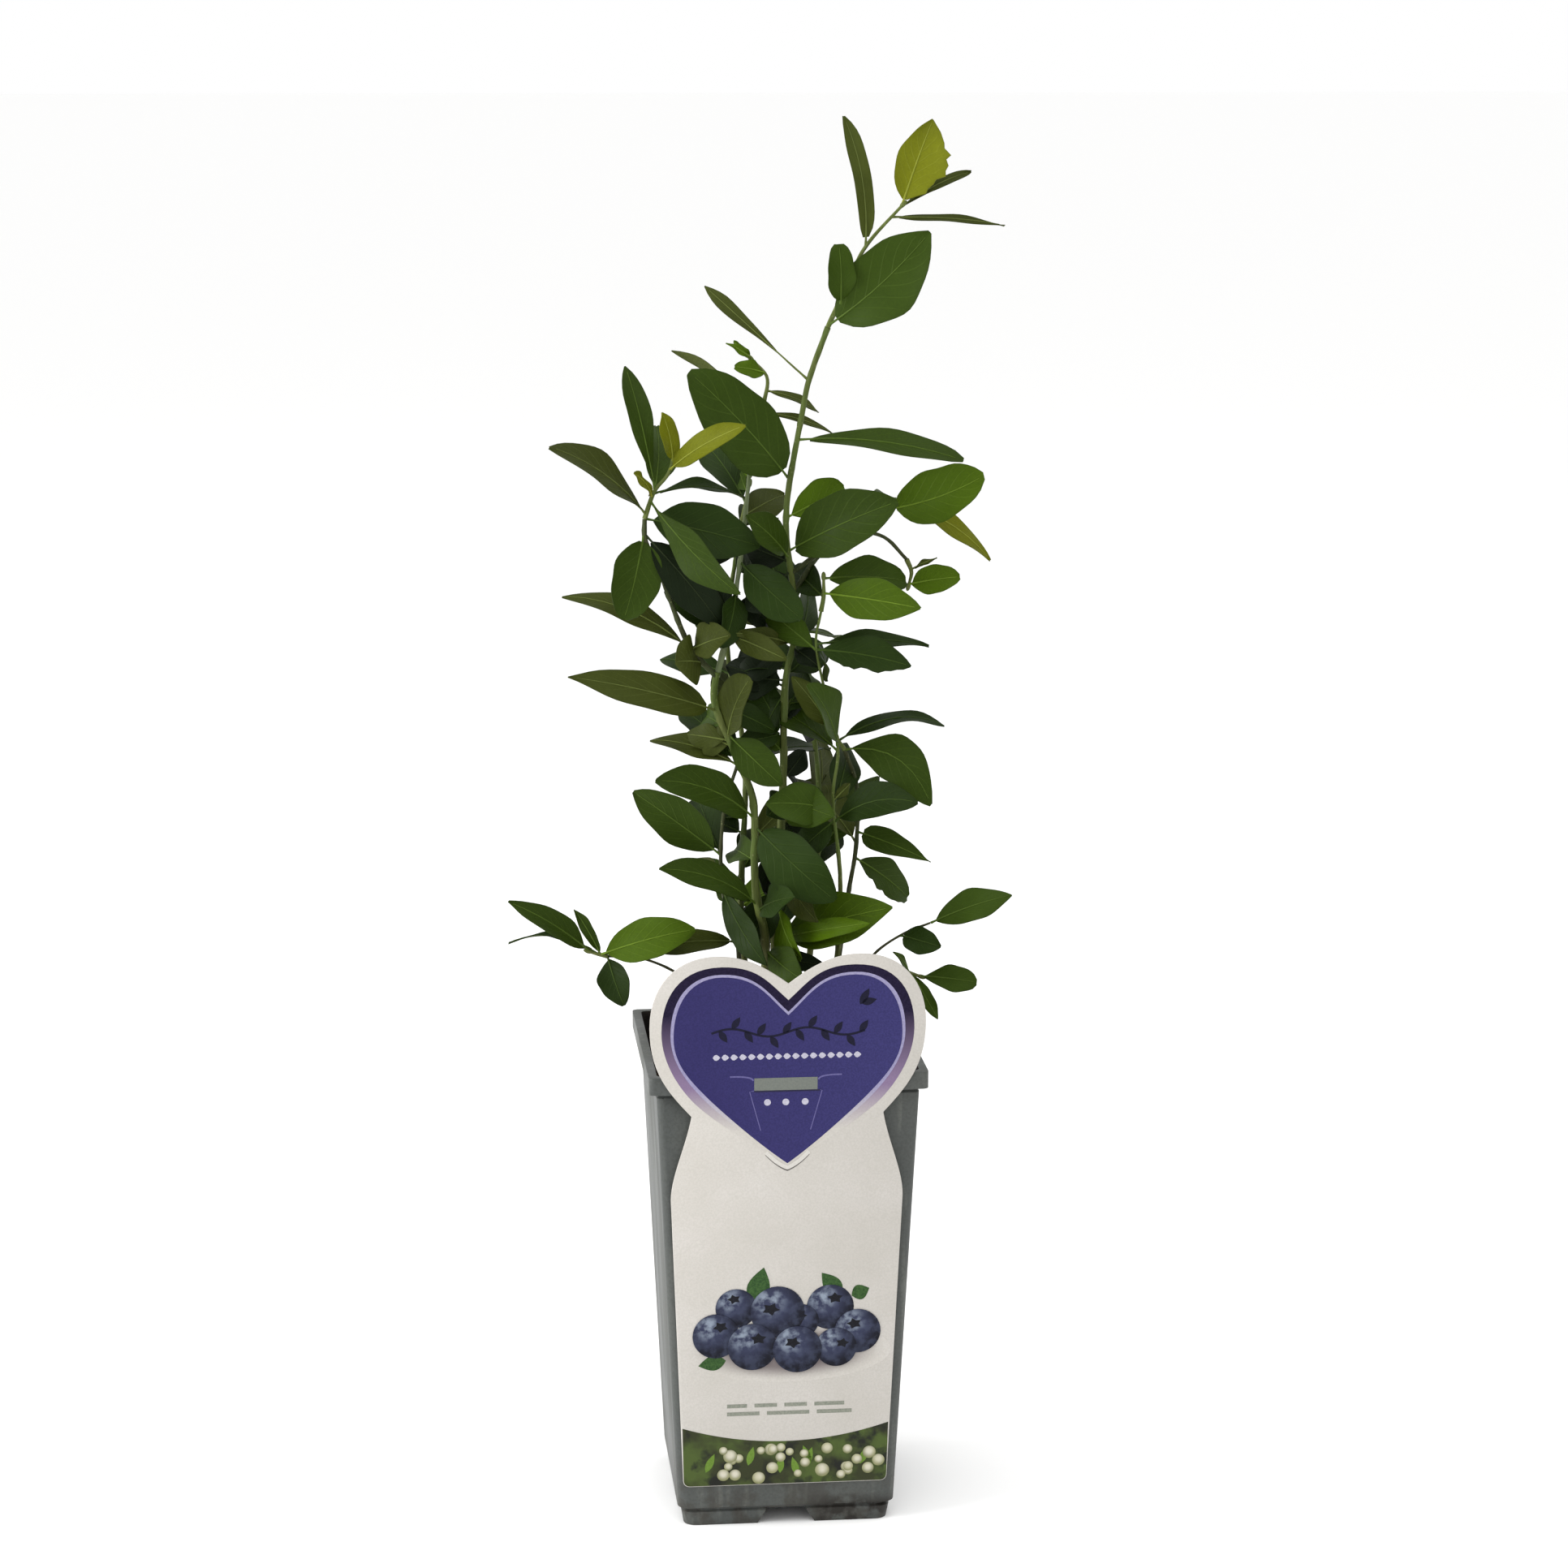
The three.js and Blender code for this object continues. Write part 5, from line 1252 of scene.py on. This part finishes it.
# Each spray: the limb that it is on and between which heights, or its own twig; its leaves, whose
# place is a height on the limb or a share of the twig; and how many more grow to the back.
SPRAYS = {
    "foliage_top": dict(twig=[(20, -4, 477), (27, -6, 493), (34, -8, 508), (48, -10, 524)], leaves=[
        leaf(0.04, (37, -12, 36), 28, 6, "mid", sweep=0.05, belly=0.5, full=0.55, blunt=0.75,
             lean=0.05, tone=0.5, behind=-2),
        leaf(0.2, (-1, -4, 23), 11, 10, "mid", full=0.4, blunt=0.3, twist=0, tone=0.75, behind=-6),
        leaf(0.62, (-7, 10, 50), 8, 20, "olive", sweep=0.03, belly=0.5, full=0.35, blunt=0.5,
             wave=0.8, twist=0, tone=1),
        leaf(0.9, (47, 14, -3), 4, 45, "olive", arch=0.02, belly=0.3, wave=0.6, twist=0, tone=0.3),
        leaf(1, (13, 8, 33), 21, 15, "young", belly=0.45, full=0.6, blunt=0.95, lean=0.25,
             ragged=0.5, tone=0.4),
        leaf(0.97, (30, 12, 14), 4, 30, "olive", sweep=-0.03, belly=0.75, tone=0.5),
    ]),
    "foliage_main_upper": dict(limb="stem_main", span=(412, 458), leaves=[
        leaf(457, (-39, 16, 36), 6, 30, "olive", sweep=-0.02, belly=0.78, full=3.2, blunt=0.8,
             wave=0.5, twist=0, tone=0.3),
        leaf(432, (62, -22, -5), 12, 52, "mid", belly=0.6, full=0.6, blunt=0.4, wave=0.6, tone=0.15),
        leaf(417, (-39, -12, 43), 28, 8, "mid", belly=0.42, full=0.5, blunt=0.5, lean=-0.08,
             tone=0.35, behind=2),
    ]),
    "foliage_left_inner": dict(twig=[(-9, 4, 432), (-4, 5, 448), (-3, 5, 457), (-9, 4, 464)], leaves=[
        leaf(1, (-10, -2, 7), 3, 30, "fresh"),
        leaf(0.98, (-7, 3, 7), 3, 30, "fresh"),
        leaf(0.8, (-12, -5, 3), 7, 20, "fresh", full=0.5, blunt=0.45),
        leaf(0.25, (-31, 14, 28), 6, 150, "olive", hook=0.08, tone=0.4),
        leaf(0.6, (22, 9, -9), 5, 45, "olive", wave=0.4, twist=0),
        leaf(0.35, (30, 10, -9), 4, 45, "olive", wave=0.3, twist=0),
    ]),
    "foliage_left_tip": dict(
        twig=[(-52, -5, 403), (-48, -5, 414), (-43, -5, 420), (-41, -5, 425)], rear=1, leaves=[
        leaf(0.5, (-10, 12, 48), 10, 20, "mid", sweep=-0.01, belly=0.68, full=1, blunt=0.7,
             wave=0.8, twist=0, tone=0.15),
        leaf(1, (-4, -6, 20), 9, 35, "young", tone=0.6),
        leaf(0.9, (26, -28, 20), 11, 15, "young", belly=0.5, twist=0, tone=0.2),
        leaf(0.35, (-7, -12, 11), 6, 20, "young", blunt=0.4, tone=0),
        leaf(0.05, (-37, -20, 30), 17, 42, "olive", sweep=0.02, belly=0.6, twist=0, tone=0.1),
        leaf(0.4, (38, 12, -3), 9, 72, "deep", arch=0.1, twist=0, tone=0.7),
        leaf(0.3, (31, -32, -33), 17, -8, "mid", sweep=-0.02, belly=0.55, full=1.2, twist=0, tone=0),
    ]),
    "foliage_left_centre": dict(limb="bough_left_outer", span=(378, 401), leaves=[
        leaf(402, (44, -8, -10), 22, 20, "deep", belly=0.45, tone=0.6),
        leaf(396, (30, -4, -36), 18, 25, "inner", tone=1),
        leaf(397, (-8, -6, -32), 20, 10, "mid", sweep=0, belly=0.45, full=0.5, blunt=0.5, tone=0.3),
    ]),
    "foliage_left_shoulder": dict(limb="bough_left_outer", span=(346, 358), rear=1, leaves=[
        leaf(352, (-49, 18, 20), 11, 48, "olive", sweep=0.06, tone=0.4),
        leaf(346, (-10, -10, 2), 20, 20, "olive", twist=0, tone=0.25),
        leaf(352, (14, -10, 7), 15, 25, "olive", tone=0.1),
    ]),
    "foliage_inner_low": dict(limb="bough_left_inner", span=(352, 388), rear=2, leaves=[
        leaf(385, (22, -16, -20), 17, 15, "deep", belly=0.55, full=0.6, blunt=0.5, tone=0.7),
        leaf(357, (21, -14, -8), 10, 25, "olive", tone=0.2),
        leaf(386, (-27, 4, 13), 22, 20, "inner"),
        leaf(370, (17, 8, -12), 16, 25, "inner"),
        leaf(362, (-12, 6, 26), 12, 20, "inner"),
        leaf(357, (-24, 5, 17), 11, 30, "deep", tone=0.6),
        leaf(374, (-6, -10, -21), 14, 20, "deep", tone=0.2),
    ]),
    "foliage_main_centre": dict(limb="stem_main", span=(372, 406), rear=1, leaves=[
        leaf(389, (39, -24, 22), 24, 12, "mid", belly=0.5, full=0.5, blunt=0.6, tone=0),
        leaf(403, (24, 10, 10), 16, 25, "fresh", belly=0.6, blunt=0.45, tone=1),
        leaf(384, (-16, 6, 6), 14, 20, "inner"),
        leaf(386, (-17, -12, 18), 15, 15, "mid", belly=0.5, tone=0.15, behind=-2),
        leaf(380, (-17, -6, -14), 17, 25, "inner"),
        leaf(374, (-15, 10, -7), 19, 30, "inner", tone=0.3),
    ]),
    "foliage_right_upper": dict(twig=[(42, 7, 402), (47, 6, 405), (50, 6, 407)], rear=1, leaves=[
        leaf(0.5, (36, -14, 14), 22, 18, "fresh", sweep=0.06, hook=-0.05, full=0.6, blunt=0.5, tone=0.35),
        leaf(1, (39, 12, -25), 9, 30, "young", sweep=-0.04, tone=0.2),
    ]),
    "foliage_right_bright": dict(twig=[(52, 0, 385), (54, 0, 380), (53, 0, 375)], leaves=[
        leaf(1, (19, -8, 4), 12, 20, "fresh", blunt=0.5, tone=0.6),
        leaf(0.4, (10, -2, 5), 2, 30, "olive"),
    ]),
    "foliage_right_mid": dict(twig=[(17, -9, 366), (18, -9, 372), (18, -9, 379)], rear=1, leaves=[
        leaf(0.6, (35, -22, -3), 17, 20, "fresh", tone=0),
        leaf(0.95, (34, 8, -2), 16, 35, "mid", blunt=0.35, tone=0.75),
    ]),
    "foliage_right_ragged": dict(limb="stem_right", span=(342, 360), rear=1, leaves=[
        leaf(354, (47, 14, -3), 8, 48, "deep", sweep=0),
        leaf(351, (35, -16, -4), 16, 38, "deep", ragged=0.5),
        leaf(352, (5, 8, -16), 14, 30, "deep", tone=0.1),
    ]),
    "foliage_right_centre": dict(limb="stem_right", span=(276, 322), rear=2, leaves=[
        leaf(312, (-12, -12, 27), 21, 20, "mid", tone=0.8),
        leaf(282, (30, -18, 11), 16, 30, "deep", sweep=-0.1, tone=0),
        leaf(318, (-16, 4, 21), 11, 25, "olive", tone=0.9),
        leaf(281, (-15, 2, -14), 13, 25, "deep"),
        leaf(290, (7, 3, 6), 4, 20, "olive"),
        leaf(286, (-27, -8, 5), 17, 15, "mid", sweep=0.04, tone=0.5),
    ]),
    "foliage_right_arched": dict(twig=[(28, 4, 308), (26, 4, 311), (25, 4, 313)], leaves=[
        leaf(0.7, (44, 10, 5), 10, 68, "deep", arch=0.14, tone=0.2),
        leaf(0.1, (32, -20, -19), 19, 20, "mid", arch=0.06, sweep=-0.2, full=0.9, blunt=0.65, tone=0.2),
    ]),
    "foliage_right_low": dict(limb="stem_right_thin", span=(258, 282), rear=1, leaves=[
        leaf(275, (27, -16, -9), 11, 35, "mid", belly=0.3, full=0.35, blunt=1.3, tone=0.2),
        leaf(262, (23, 10, -19), 15, 20, "mid", blunt=0.4, ragged=0.5, tone=0.2),
    ]),
    "foliage_left_mid": dict(limb="stem_left", span=(300, 328), rear=2, leaves=[
        leaf(326, (-58, -24, 19), 18, 35, "olive", sweep=-0.02, belly=0.35, full=0.5, blunt=0.9, tone=0.45),
        leaf(317, (7, -12, 25), 21, 8, "olive", belly=0.5, full=0.5, blunt=0.4, twist=0, tone=0.05),
        leaf(328, (24, 4, -12), 10, 20, "deep", tone=0.2),
        leaf(312, (19, 6, 3), 10, 20, "deep", tone=0.5),
        leaf(317, (20, -8, -19), 15, 15, "mid", tone=0.2),
        leaf(314, (-16, 10, 1), 10, 25, "olive", tone=0.15),
        leaf(305, (-34, 14, 9), 10, 52, "olive", sweep=0.03, tone=0.15),
        leaf(312, (-10, 6, 4), 15, 20, "olive", tone=0.1),
    ]),
    "foliage_main_mid": dict(limb="stem_main", span=(320, 348), rear=2, leaves=[
        leaf(318, (-11, 8, 20), 13, 25, "deep", tone=0.4),
        leaf(323, (10, 18, 14), 14, 40, "deep", tone=0.1),
        leaf(340, (16, 18, 10), 16, 50, "deep"),
        leaf(352, (-24, -8, 6), 7, 30, "olive", tone=0.4),
        leaf(350, (9, -8, -6), 8, 50, "inner"),
        leaf(334, (-22, 10, 7), 14, 25, "inner"),
        leaf(308, (-9, -2, 9), 9, 30, "mid"),
        leaf(336, (-21, 8, 0), 18, 25, "inner", tone=0.5),
        leaf(322, (13, 12, -8), 16, 30, "inner", tone=0.6),
        leaf(330, (-8, 4, -18), 15, 25, "deep", tone=0.1),
        leaf(346, (-19, 12, -2), 19, 20, "inner", tone=0.6),
    ]),
    "foliage_centre_low": dict(limb="stem_main", span=(243, 292), rear=1, leaves=[
        leaf(289, (17, -20, -3), 18, 25, "mid", tone=0.6),
        leaf(262, (12, -22, -19), 13, 12, "olive", blunt=0.65, tone=0.3),
        leaf(264, (12, 8, -17), 16, 30, "inner"),
        leaf(247, (6, -22, -19), 14, 10, "fresh", belly=0.62, full=0.9, blunt=0.45, tone=0.6),
        leaf(297, (9, 6, 10), 9, 30, "inner"),
        leaf(290, (-6, -8, -7), 14, 15, "deep", tone=0.6),
        leaf(277, (18, 4, -1), 8, 30, "inner"),
        leaf(262, (2, 6, -18), 13, 25, "inner"),
        leaf(300, (6, 8, -8), 13, 30, "inner", tone=0.4),
        leaf(276, (-4, 6, -28), 16, 25, "inner", tone=0.6),
    ]),
    "foliage_left_low": dict(limb="stem_left", span=(243, 287), rear=1, leaves=[
        leaf(283, (-39, -20, 20), 18, 33, "mid", sweep=0.06, belly=0.55, full=0.4, blunt=0.7, tone=0.1),
        leaf(249, (-39, -24, 21), 15, 38, "mid", sweep=0.04, tone=0.3),
        leaf(247, (11, -22, 10), 14, 25, "deep", tone=0.8),
        leaf(279, (29, -18, -26), 22, 12, "deep", belly=0.5, full=0.45, blunt=0.6, tone=0.8),
        leaf(230, (12, -16, -8), 16, 15, "mid", tone=0.4),
    ]),
    "foliage_left_thin": dict(limb="stem_left_thin", span=(248, 270), rear=2, leaves=[
        leaf(266, (-34, 12, 24), 18, 25, "mid", belly=0.42, tone=0.35),
        leaf(251, (14, -28, -24), 13, 20, "deep", tone=0.3),
    ]),
    "foliage_base_left": dict(limb="stem_left_thin", span=(222, 238), rear=1, leaves=[
        leaf(228, (-42, -16, 1), 13, 55, "olive"),
    ]),
    "foliage_base_centre": dict(limb="stem_main", span=(222, 238), rear=2, leaves=[
        leaf(231, (42, -26, 18), 22, 22, "fresh", blunt=0.8, tone=0),
        leaf(222, (18, -4, -2), 8, 30, "inner"),
        leaf(238, (-4, 8, -14), 9, 30, "inner"),
        leaf(232, (32, -32, 13), 9, 15, "fresh", tone=1),
        leaf(252, (-12, -4, -23), 15, 25, "deep", tone=0.2),
    ]),
    "foliage_low_left": dict(twig=[(-68, -3, 227), (-72, -3, 228), (-75, -3, 229)], leaves=[
        leaf(1, (-32, -6, 23), 12, 38, "mid", blunt=1),
        leaf(0.6, (-35, 2, 6), 4, 78, "deep", arch=0.14),
        leaf(0.5, (-10, 4, 18), 5, 40, "mid"),
        leaf(0.3, (37, -9, 12), 18, 30, "fresh", tone=0.3),
        leaf(0.1, (6, -6, -19), 13, 15, "deep", tone=0),
    ]),
    "foliage_low_right": dict(limb="bough_low_right", span=(232, 238), leaves=[
        leaf(238, (32, -4, 12), 14, 38, "mid", belly=0.45, tone=0.9),
        leaf(233, (15, -8, -3), 11, 20, "deep", full=0.4, tone=0.8),
    ]),
    "foliage_low_right_rear": dict(twig=[(54, 12, 214), (60, 12, 212)], leaves=[
        leaf(1, (23, -4, -2), 11, 30, "mid", belly=0.6, full=0.9, blunt=0.4, tone=1),
        leaf(0.5, (10, -5, -18), 6, 25, "mid"),
        leaf(0.2, (-7, -8, 11), 4, 20, "mid", wave=0.3, twist=0),
    ]),
    "foliage_low_back": dict(twig=[(-8, 58, 230), (-10, 62, 232)], leaves=[
        leaf(1, (1, 24, 6), 15, 60, "mid"),
        leaf(0.6, (22, 18, 6), 16, 60, "fresh"),
        leaf(0.2, (12, 8, -16), 13, 60, "mid"),
        leaf(0.9, (-9, 0, 6), 13, 60, "mid"),
    ]),
    "foliage_back_left_low": dict(limb="stem_back_left", span=(238, 280), rear=6, leaves=[]),
    "foliage_back_left_mid": dict(limb="stem_back_left", span=(296, 346), rear=7, leaves=[]),
    "foliage_back_left_top": dict(twig=[(-12, 28, 392), (-10, 28, 402), (-8, 27, 412)], rear=4, leaves=[
        leaf(1, (4, 8, 34), 15, 40, "fresh"),
    ]),
    "foliage_back_right_low": dict(limb="stem_back_right", span=(246, 284), rear=6, leaves=[]),
    "foliage_back_right_top": dict(twig=[(14, 30, 340), (12, 30, 350), (10, 30, 360)], rear=6, leaves=[]),
}
# Leaves to the back: their angle round the limb from one to the next, how far a spray's first one is
# turned on from the last spray's, and how many degrees a millimetre off the pot's middle turns them out.
SPIRAL_ANGLE = 137.5
SPRAY_ANGLE = 47
TURN_OUT = 0.6
# How widely they fan out, their middle reach and the swing of their rise, in a spray that has other
# leaves and in one that has none.
REAR_AMONG_OTHERS = (0.5, 33, 12)
REAR_ALONE = (0.85, 30, 18)
# The rest of what varies from one to the next: a middle, a swing about it and the pace of the swing.
REACH_SWING, REACH_PACE = 7, 2.3
RISE_MIDDLE, RISE_PACE, RISE_SPRAY_PACE = 11, 1.7, 0.6
WIDTH_MIDDLE, WIDTH_SWING, WIDTH_PACE = 15, 3, 3.1
FACE_MIDDLE, FACE_SWING, FACE_PACE = 60, 25, 2.9
REAR_TINTS = ("deep", "mid", "deep", "mid", "olive")


def rear_leaves(spray, seed, middle_x):
    """Leaves towards the back: heading, reach and rise follow from each one's turn in the spiral."""
    rows = []
    count = spray.get("rear", 0)
    fan, middle_reach, rise_swing = REAR_AMONG_OTHERS if spray["leaves"] else REAR_ALONE
    for i in range(count):
        at = (i + 0.5) / count
        if "limb" in spray:
            low, high = spray["span"]
            at = low + (high - low) * at
        turn = (i * SPIRAL_ANGLE + seed * SPRAY_ANGLE) % 180 - 90
        heading = math.radians(90 + turn * fan + middle_x * TURN_OUT)
        reach = middle_reach + REACH_SWING * math.sin(i * REACH_PACE + seed)
        rise = RISE_MIDDLE + rise_swing * math.sin(i * RISE_PACE + seed * RISE_SPRAY_PACE)
        tip = (reach * math.cos(heading), reach * math.sin(heading), rise)
        width = WIDTH_MIDDLE + WIDTH_SWING * math.sin(i * WIDTH_PACE + seed)
        face = FACE_MIDDLE + FACE_SWING * math.sin(i * FACE_PACE + seed)
        rows.append(leaf(at, tip, width, face, REAR_TINTS[(i + seed) % len(REAR_TINTS)]))
    return rows


def upper_side(axis, face):
    """The direction that a blade's upper side looks in, square to its length, from its row's degrees."""
    front, up = Vector((0, -1, 0)), Vector((0, 0, 1))
    to_sky = up - axis * axis.z
    to_front = axis.cross(to_sky)
    if abs(axis.z) > UPRIGHT:
        to_front = front - axis * front.dot(axis)
        to_sky = axis.cross(to_front)
        if to_sky.x * axis.x > 0:
            to_sky.negate()
    to_sky.normalize()
    to_front.normalize()
    if to_front.dot(front) < 0:
        to_front.negate()
    angle = math.radians(face)
    return to_front * math.cos(angle) + to_sky * math.sin(angle)


def grow_leaf(bm, base, row, seed, leaf_rng):
    """One leaf with its stalk and midrib, from a point on the bark, in millimetres."""
    length = row.tip.length
    axis = row.tip.normalized()
    normal = upper_side(axis, row.face)
    side = axis.cross(normal)
    drawn = {label: leaf_rng.uniform(*span) for label, span in LEAF_DRAWS.items()}
    fold, phase = drawn["fold"], drawn["phase"]
    twist = math.radians(drawn["twist"] if row.twist is None else row.twist)
    tone = drawn["tone"] if row.tone is None else row.tone

    def centre_at(share):
        """The midrib's place at a share of the leaf's length."""
        bow = 4 * length * share * (1 - share)
        lift = row.arch * bow - row.hook * length * share**4
        return base + axis * (share * length) + normal * lift + side * (row.sweep * bow)

    def on_blade(across, share):
        """A place on the blade: across it from -1 to 1, and along it from stalk to tip."""
        along = STALK_SHARE + (1 - STALK_SHARE) * share
        if share < row.belly:
            to_belly, curve = share / row.belly, row.full
        else:
            to_belly, curve = (1 - share) / (1 - row.belly), row.blunt
        half = row.width / 2 * max(LEAST_HALF, math.sin(math.pi / 2 * to_belly)) ** curve
        half *= 1 + row.lean * across
        if row.ragged and across > RAGGED_FROM and share < RAGGED_END:
            bite = noise.noise(Vector((share * BITES, seed * 3.3, 0.5)))
            half *= 1 - row.ragged * max(0.0, abs(bite) * BITE_DEPTH - BITE_LEAST)
        half *= 1 + RIPPLE * math.sin(RIPPLES * share + 2 * phase + 2 * across)
        angle = twist * (share - 0.5)
        flat = side * math.cos(angle) + normal * math.sin(angle)
        up = normal * math.cos(angle) - side * math.sin(angle)
        lift = fold * abs(across) ** FOLD_CURVE * half
        lift += row.wave * math.sin(share * WAVES + phase + across) * across**2
        return centre_at(along) + flat * (across * half) + up * lift

    grid = bmesh.ops.create_grid(
        bm, x_segments=BLADE_ACROSS, y_segments=BLADE_ALONG, size=1, calc_uvs=True,
    )["verts"]
    above = list({f for vert in grid for f in vert.link_faces})
    for vert in grid:
        vert.co = spot(*on_blade(vert.co.x, (vert.co.y + 1) / 2))
    for f in above:
        f.normal_update()
    if sum(f.normal.dot(normal) for f in above) < 0:
        bmesh.ops.reverse_faces(bm, faces=above)
    for vert in grid:
        vert.normal_update()
    copied = bmesh.ops.duplicate(bm, geom=[*grid, *{e for f in above for e in f.edges}, *above])["geom"]
    below = [item for item in copied if isinstance(item, bmesh.types.BMFace)]
    for vert in (item for item in copied if isinstance(item, bmesh.types.BMVert)):
        vert.co -= vert.normal * BLADE_THICK * MM
    bmesh.ops.reverse_faces(bm, faces=below)
    open_edges = [e for f in (*above, *below) for e in f.edges if e.is_boundary]
    rim = bmesh.ops.bridge_loops(bm, edges=list(set(open_edges)))["faces"]
    tone_layer = bm.faces.layers.float["tone"]
    for faces, skin in ((above, 0), (below, 1), (rim, 0)):
        for f in faces:
            f.material_index = skin
            f[tone_layer] = tone
    rib = [centre_at(share) + normal * 0.1 for share in RIB_PLACES]
    sweep_tube(bm, rib, lambda share: RIB_FOOT - RIB_TAPER * share**0.6, RIB_SIDES, 0.0, 2)


# A blade's slanting side veins, which fade towards its margin, and the margin, from its UV map.
veins, veins_in, veins_out = node_group(
    "side_veins", {"Count": 7.0, "Slant": 0.35, "Width": 0.16}, ["Mask", "Margin"],
)
vein_uv = veins.nodes.new("ShaderNodeUVMap")
vein_parts = veins.nodes.new("ShaderNodeSeparateXYZ")
veins.links.new(vein_uv.outputs["UV"], vein_parts.inputs["Vector"])


def vein_math(operation, first, second=None, clamp=False):
    """A sum in the side veins' group. What goes in is a number or an output."""
    node = veins.nodes.new("ShaderNodeMath")
    node.operation = operation
    node.use_clamp = clamp
    for socket, value in zip(node.inputs, (first, second)):
        if isinstance(value, (int, float)):
            socket.default_value = value
        elif value is not None:
            veins.links.new(value, socket)
    return node.outputs["Value"]


def from_half(value):
    """0 where the value is a half, rising to 1 where it is 0 or 1."""
    return vein_math("MULTIPLY", vein_math("ABSOLUTE", vein_math("SUBTRACT", value, 0.5)), 2)


from_rib = from_half(vein_parts.outputs["X"])
slope = vein_math("MULTIPLY", from_rib, veins_in.outputs["Slant"])
slanted = vein_math("SUBTRACT", vein_parts.outputs["Y"], slope)
cycle = vein_math("FRACT", vein_math("MULTIPLY", slanted, veins_in.outputs["Count"]))
beside = vein_math("DIVIDE", vein_math("SUBTRACT", 1, from_half(cycle)), veins_in.outputs["Width"])
line = vein_math("SUBTRACT", 1, beside, clamp=True)
fade = vein_math("SUBTRACT", 1, vein_math("POWER", from_rib, 2.5), clamp=True)
veins.links.new(vein_math("MULTIPLY", line, fade), veins_out.inputs["Mask"])
veins.links.new(vein_math("POWER", from_rib, 12), veins_out.inputs["Margin"])


def shaded(colour, share):
    """A colour made darker or lighter."""
    return (*[min(1.0, part * share) for part in colour[:3]], 1.0)


def leaf_skin(name, colour, rib_colour, veins_strength, roughness):
    """Matt leaf skin: mottled, with faint pale side veins, a darker margin and its own leaf's tone."""
    finish = Finish(name, roughness, 0.1)
    cloud = finish.mask(mottle, Scale=85.0, Detail=5.0, Low=0.36, High=0.66)
    fine = finish.mask(mottle, Scale=1100.0, Detail=3.0)
    vein = finish.effect(veins)
    own = finish.add("ShaderNodeAttribute", attribute_name="tone")
    darker, lighter = shaded(colour, 0.68), shaded(colour, 1.3)
    mixed = finish.blend(own.outputs["Fac"], darker, lighter, 0.75)
    mixed = finish.blend(cloud, mixed, darker, 0.45)
    mixed = finish.blend(fine, mixed, lighter, 0.2)
    mixed = finish.blend(vein.outputs["Mask"], mixed, rib_colour, veins_strength)
    mixed = finish.blend(vein.outputs["Margin"], mixed, darker, 0.7)
    finish.colour(mixed)
    finish.rough(cloud, roughness - 0.04, roughness + 0.1)
    finish.relief(vein.outputs["Mask"], 0.25, 0.5)
    return finish.material


def plain_skin(name, colour):
    """The faintly mottled skin of a midrib."""
    finish = Finish(name, 0.6, 0.12)
    cloud = finish.mask(mottle, Scale=300.0, Detail=3.0)
    finish.colour(finish.blend(cloud, colour, shaded(colour, 0.7), 0.6))
    return finish.material


def place_at_height(name, height):
    """The limb's centre at a height, and its radius there."""
    places, length = limb_places[name]
    index = min(range(len(places)), key=lambda i: abs(places[i].z - height))
    return places[index], limb_radius(name, index / (len(places) - 1), length)


STALK_IN_BARK = 0.6
TWIG_STEP = 1.5
TWIG_FOOT, TWIG_TAPER, TWIG_SIDES, TWIG_RIDGES = 1.05, 0.45, 8, 0.12
TWIG_BUD = Vector((0.95, 0.95, 2))
TWIG_BUD_RISE = Vector((0, 0, 0.8))
leaf_bms = {tint: bmesh.new() for tint in TINTS}
for leaf_bm in leaf_bms.values():
    leaf_bm.loops.layers.uv.new("UVMap")
    leaf_bm.faces.layers.float.new("tone")
leaf_sprays = {tint: [] for tint in TINTS}
twigs_bm = bmesh.new()
leaf_count = 0
for seed, (spray_name, spray) in enumerate(SPRAYS.items()):
    if "limb" in spray:
        places, length = limb_places[spray["limb"]]
        middle_x = places[len(places) // 2].x
    else:
        places, length = smooth_path(spray["twig"], TWIG_STEP)
        middle_x = places[0].x
        sweep_tube(twigs_bm, places, lambda share: TWIG_FOOT - TWIG_TAPER * share, TWIG_SIDES, TWIG_RIDGES)
        bud = bmesh.ops.create_uvsphere(twigs_bm, u_segments=8, v_segments=6, radius=1)["verts"]
        growing = (places[-1] - places[-2]).normalized().to_track_quat("Z", "Y").to_matrix()
        for vert in bud:
            vert.co = spot(*(places[-1] + growing @ (vert.co * TWIG_BUD + TWIG_BUD_RISE)))
    for index, row in enumerate([*spray["leaves"], *rear_leaves(spray, seed, middle_x)]):
        if "limb" in spray:
            centre, radius = place_at_height(spray["limb"], row.at)
            outwards = Vector((row.tip.x, row.tip.y, 0)).normalized()
            base = centre + outwards * radius * STALK_IN_BARK
        else:
            base = places[round(row.at * (len(places) - 1))].copy()
        base.y += row.behind
        leaf_rng = random.Random(f"{spray_name} {index}")
        grow_leaf(leaf_bms[row.tint], base, row, leaf_count, leaf_rng)
        leaf_sprays[row.tint].append(spray_name)
        leaf_count += 1
for tint, (upper, under, rib) in TINTS.items():
    leaves = to_object(
        f"leaves_{tint}", leaf_bms[tint],
        leaf_skin(f"{tint}_upper", upper, rib, 0.3, 0.56),
        leaf_skin(f"{tint}_underside", under, rib, 0.32, 0.66),
        plain_skin(f"{tint}_midrib", rib),
    )
    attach(leaves, "root")
    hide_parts(*dict.fromkeys(leaf_sprays[tint]))
twig_bark = bark("twig_bark", paint(88, 100, 46), paint(84, 80, 46), paint(60, 70, 30))
twigs = to_object("twigs_and_buds", twigs_bm, twig_bark)
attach(twigs, "root")
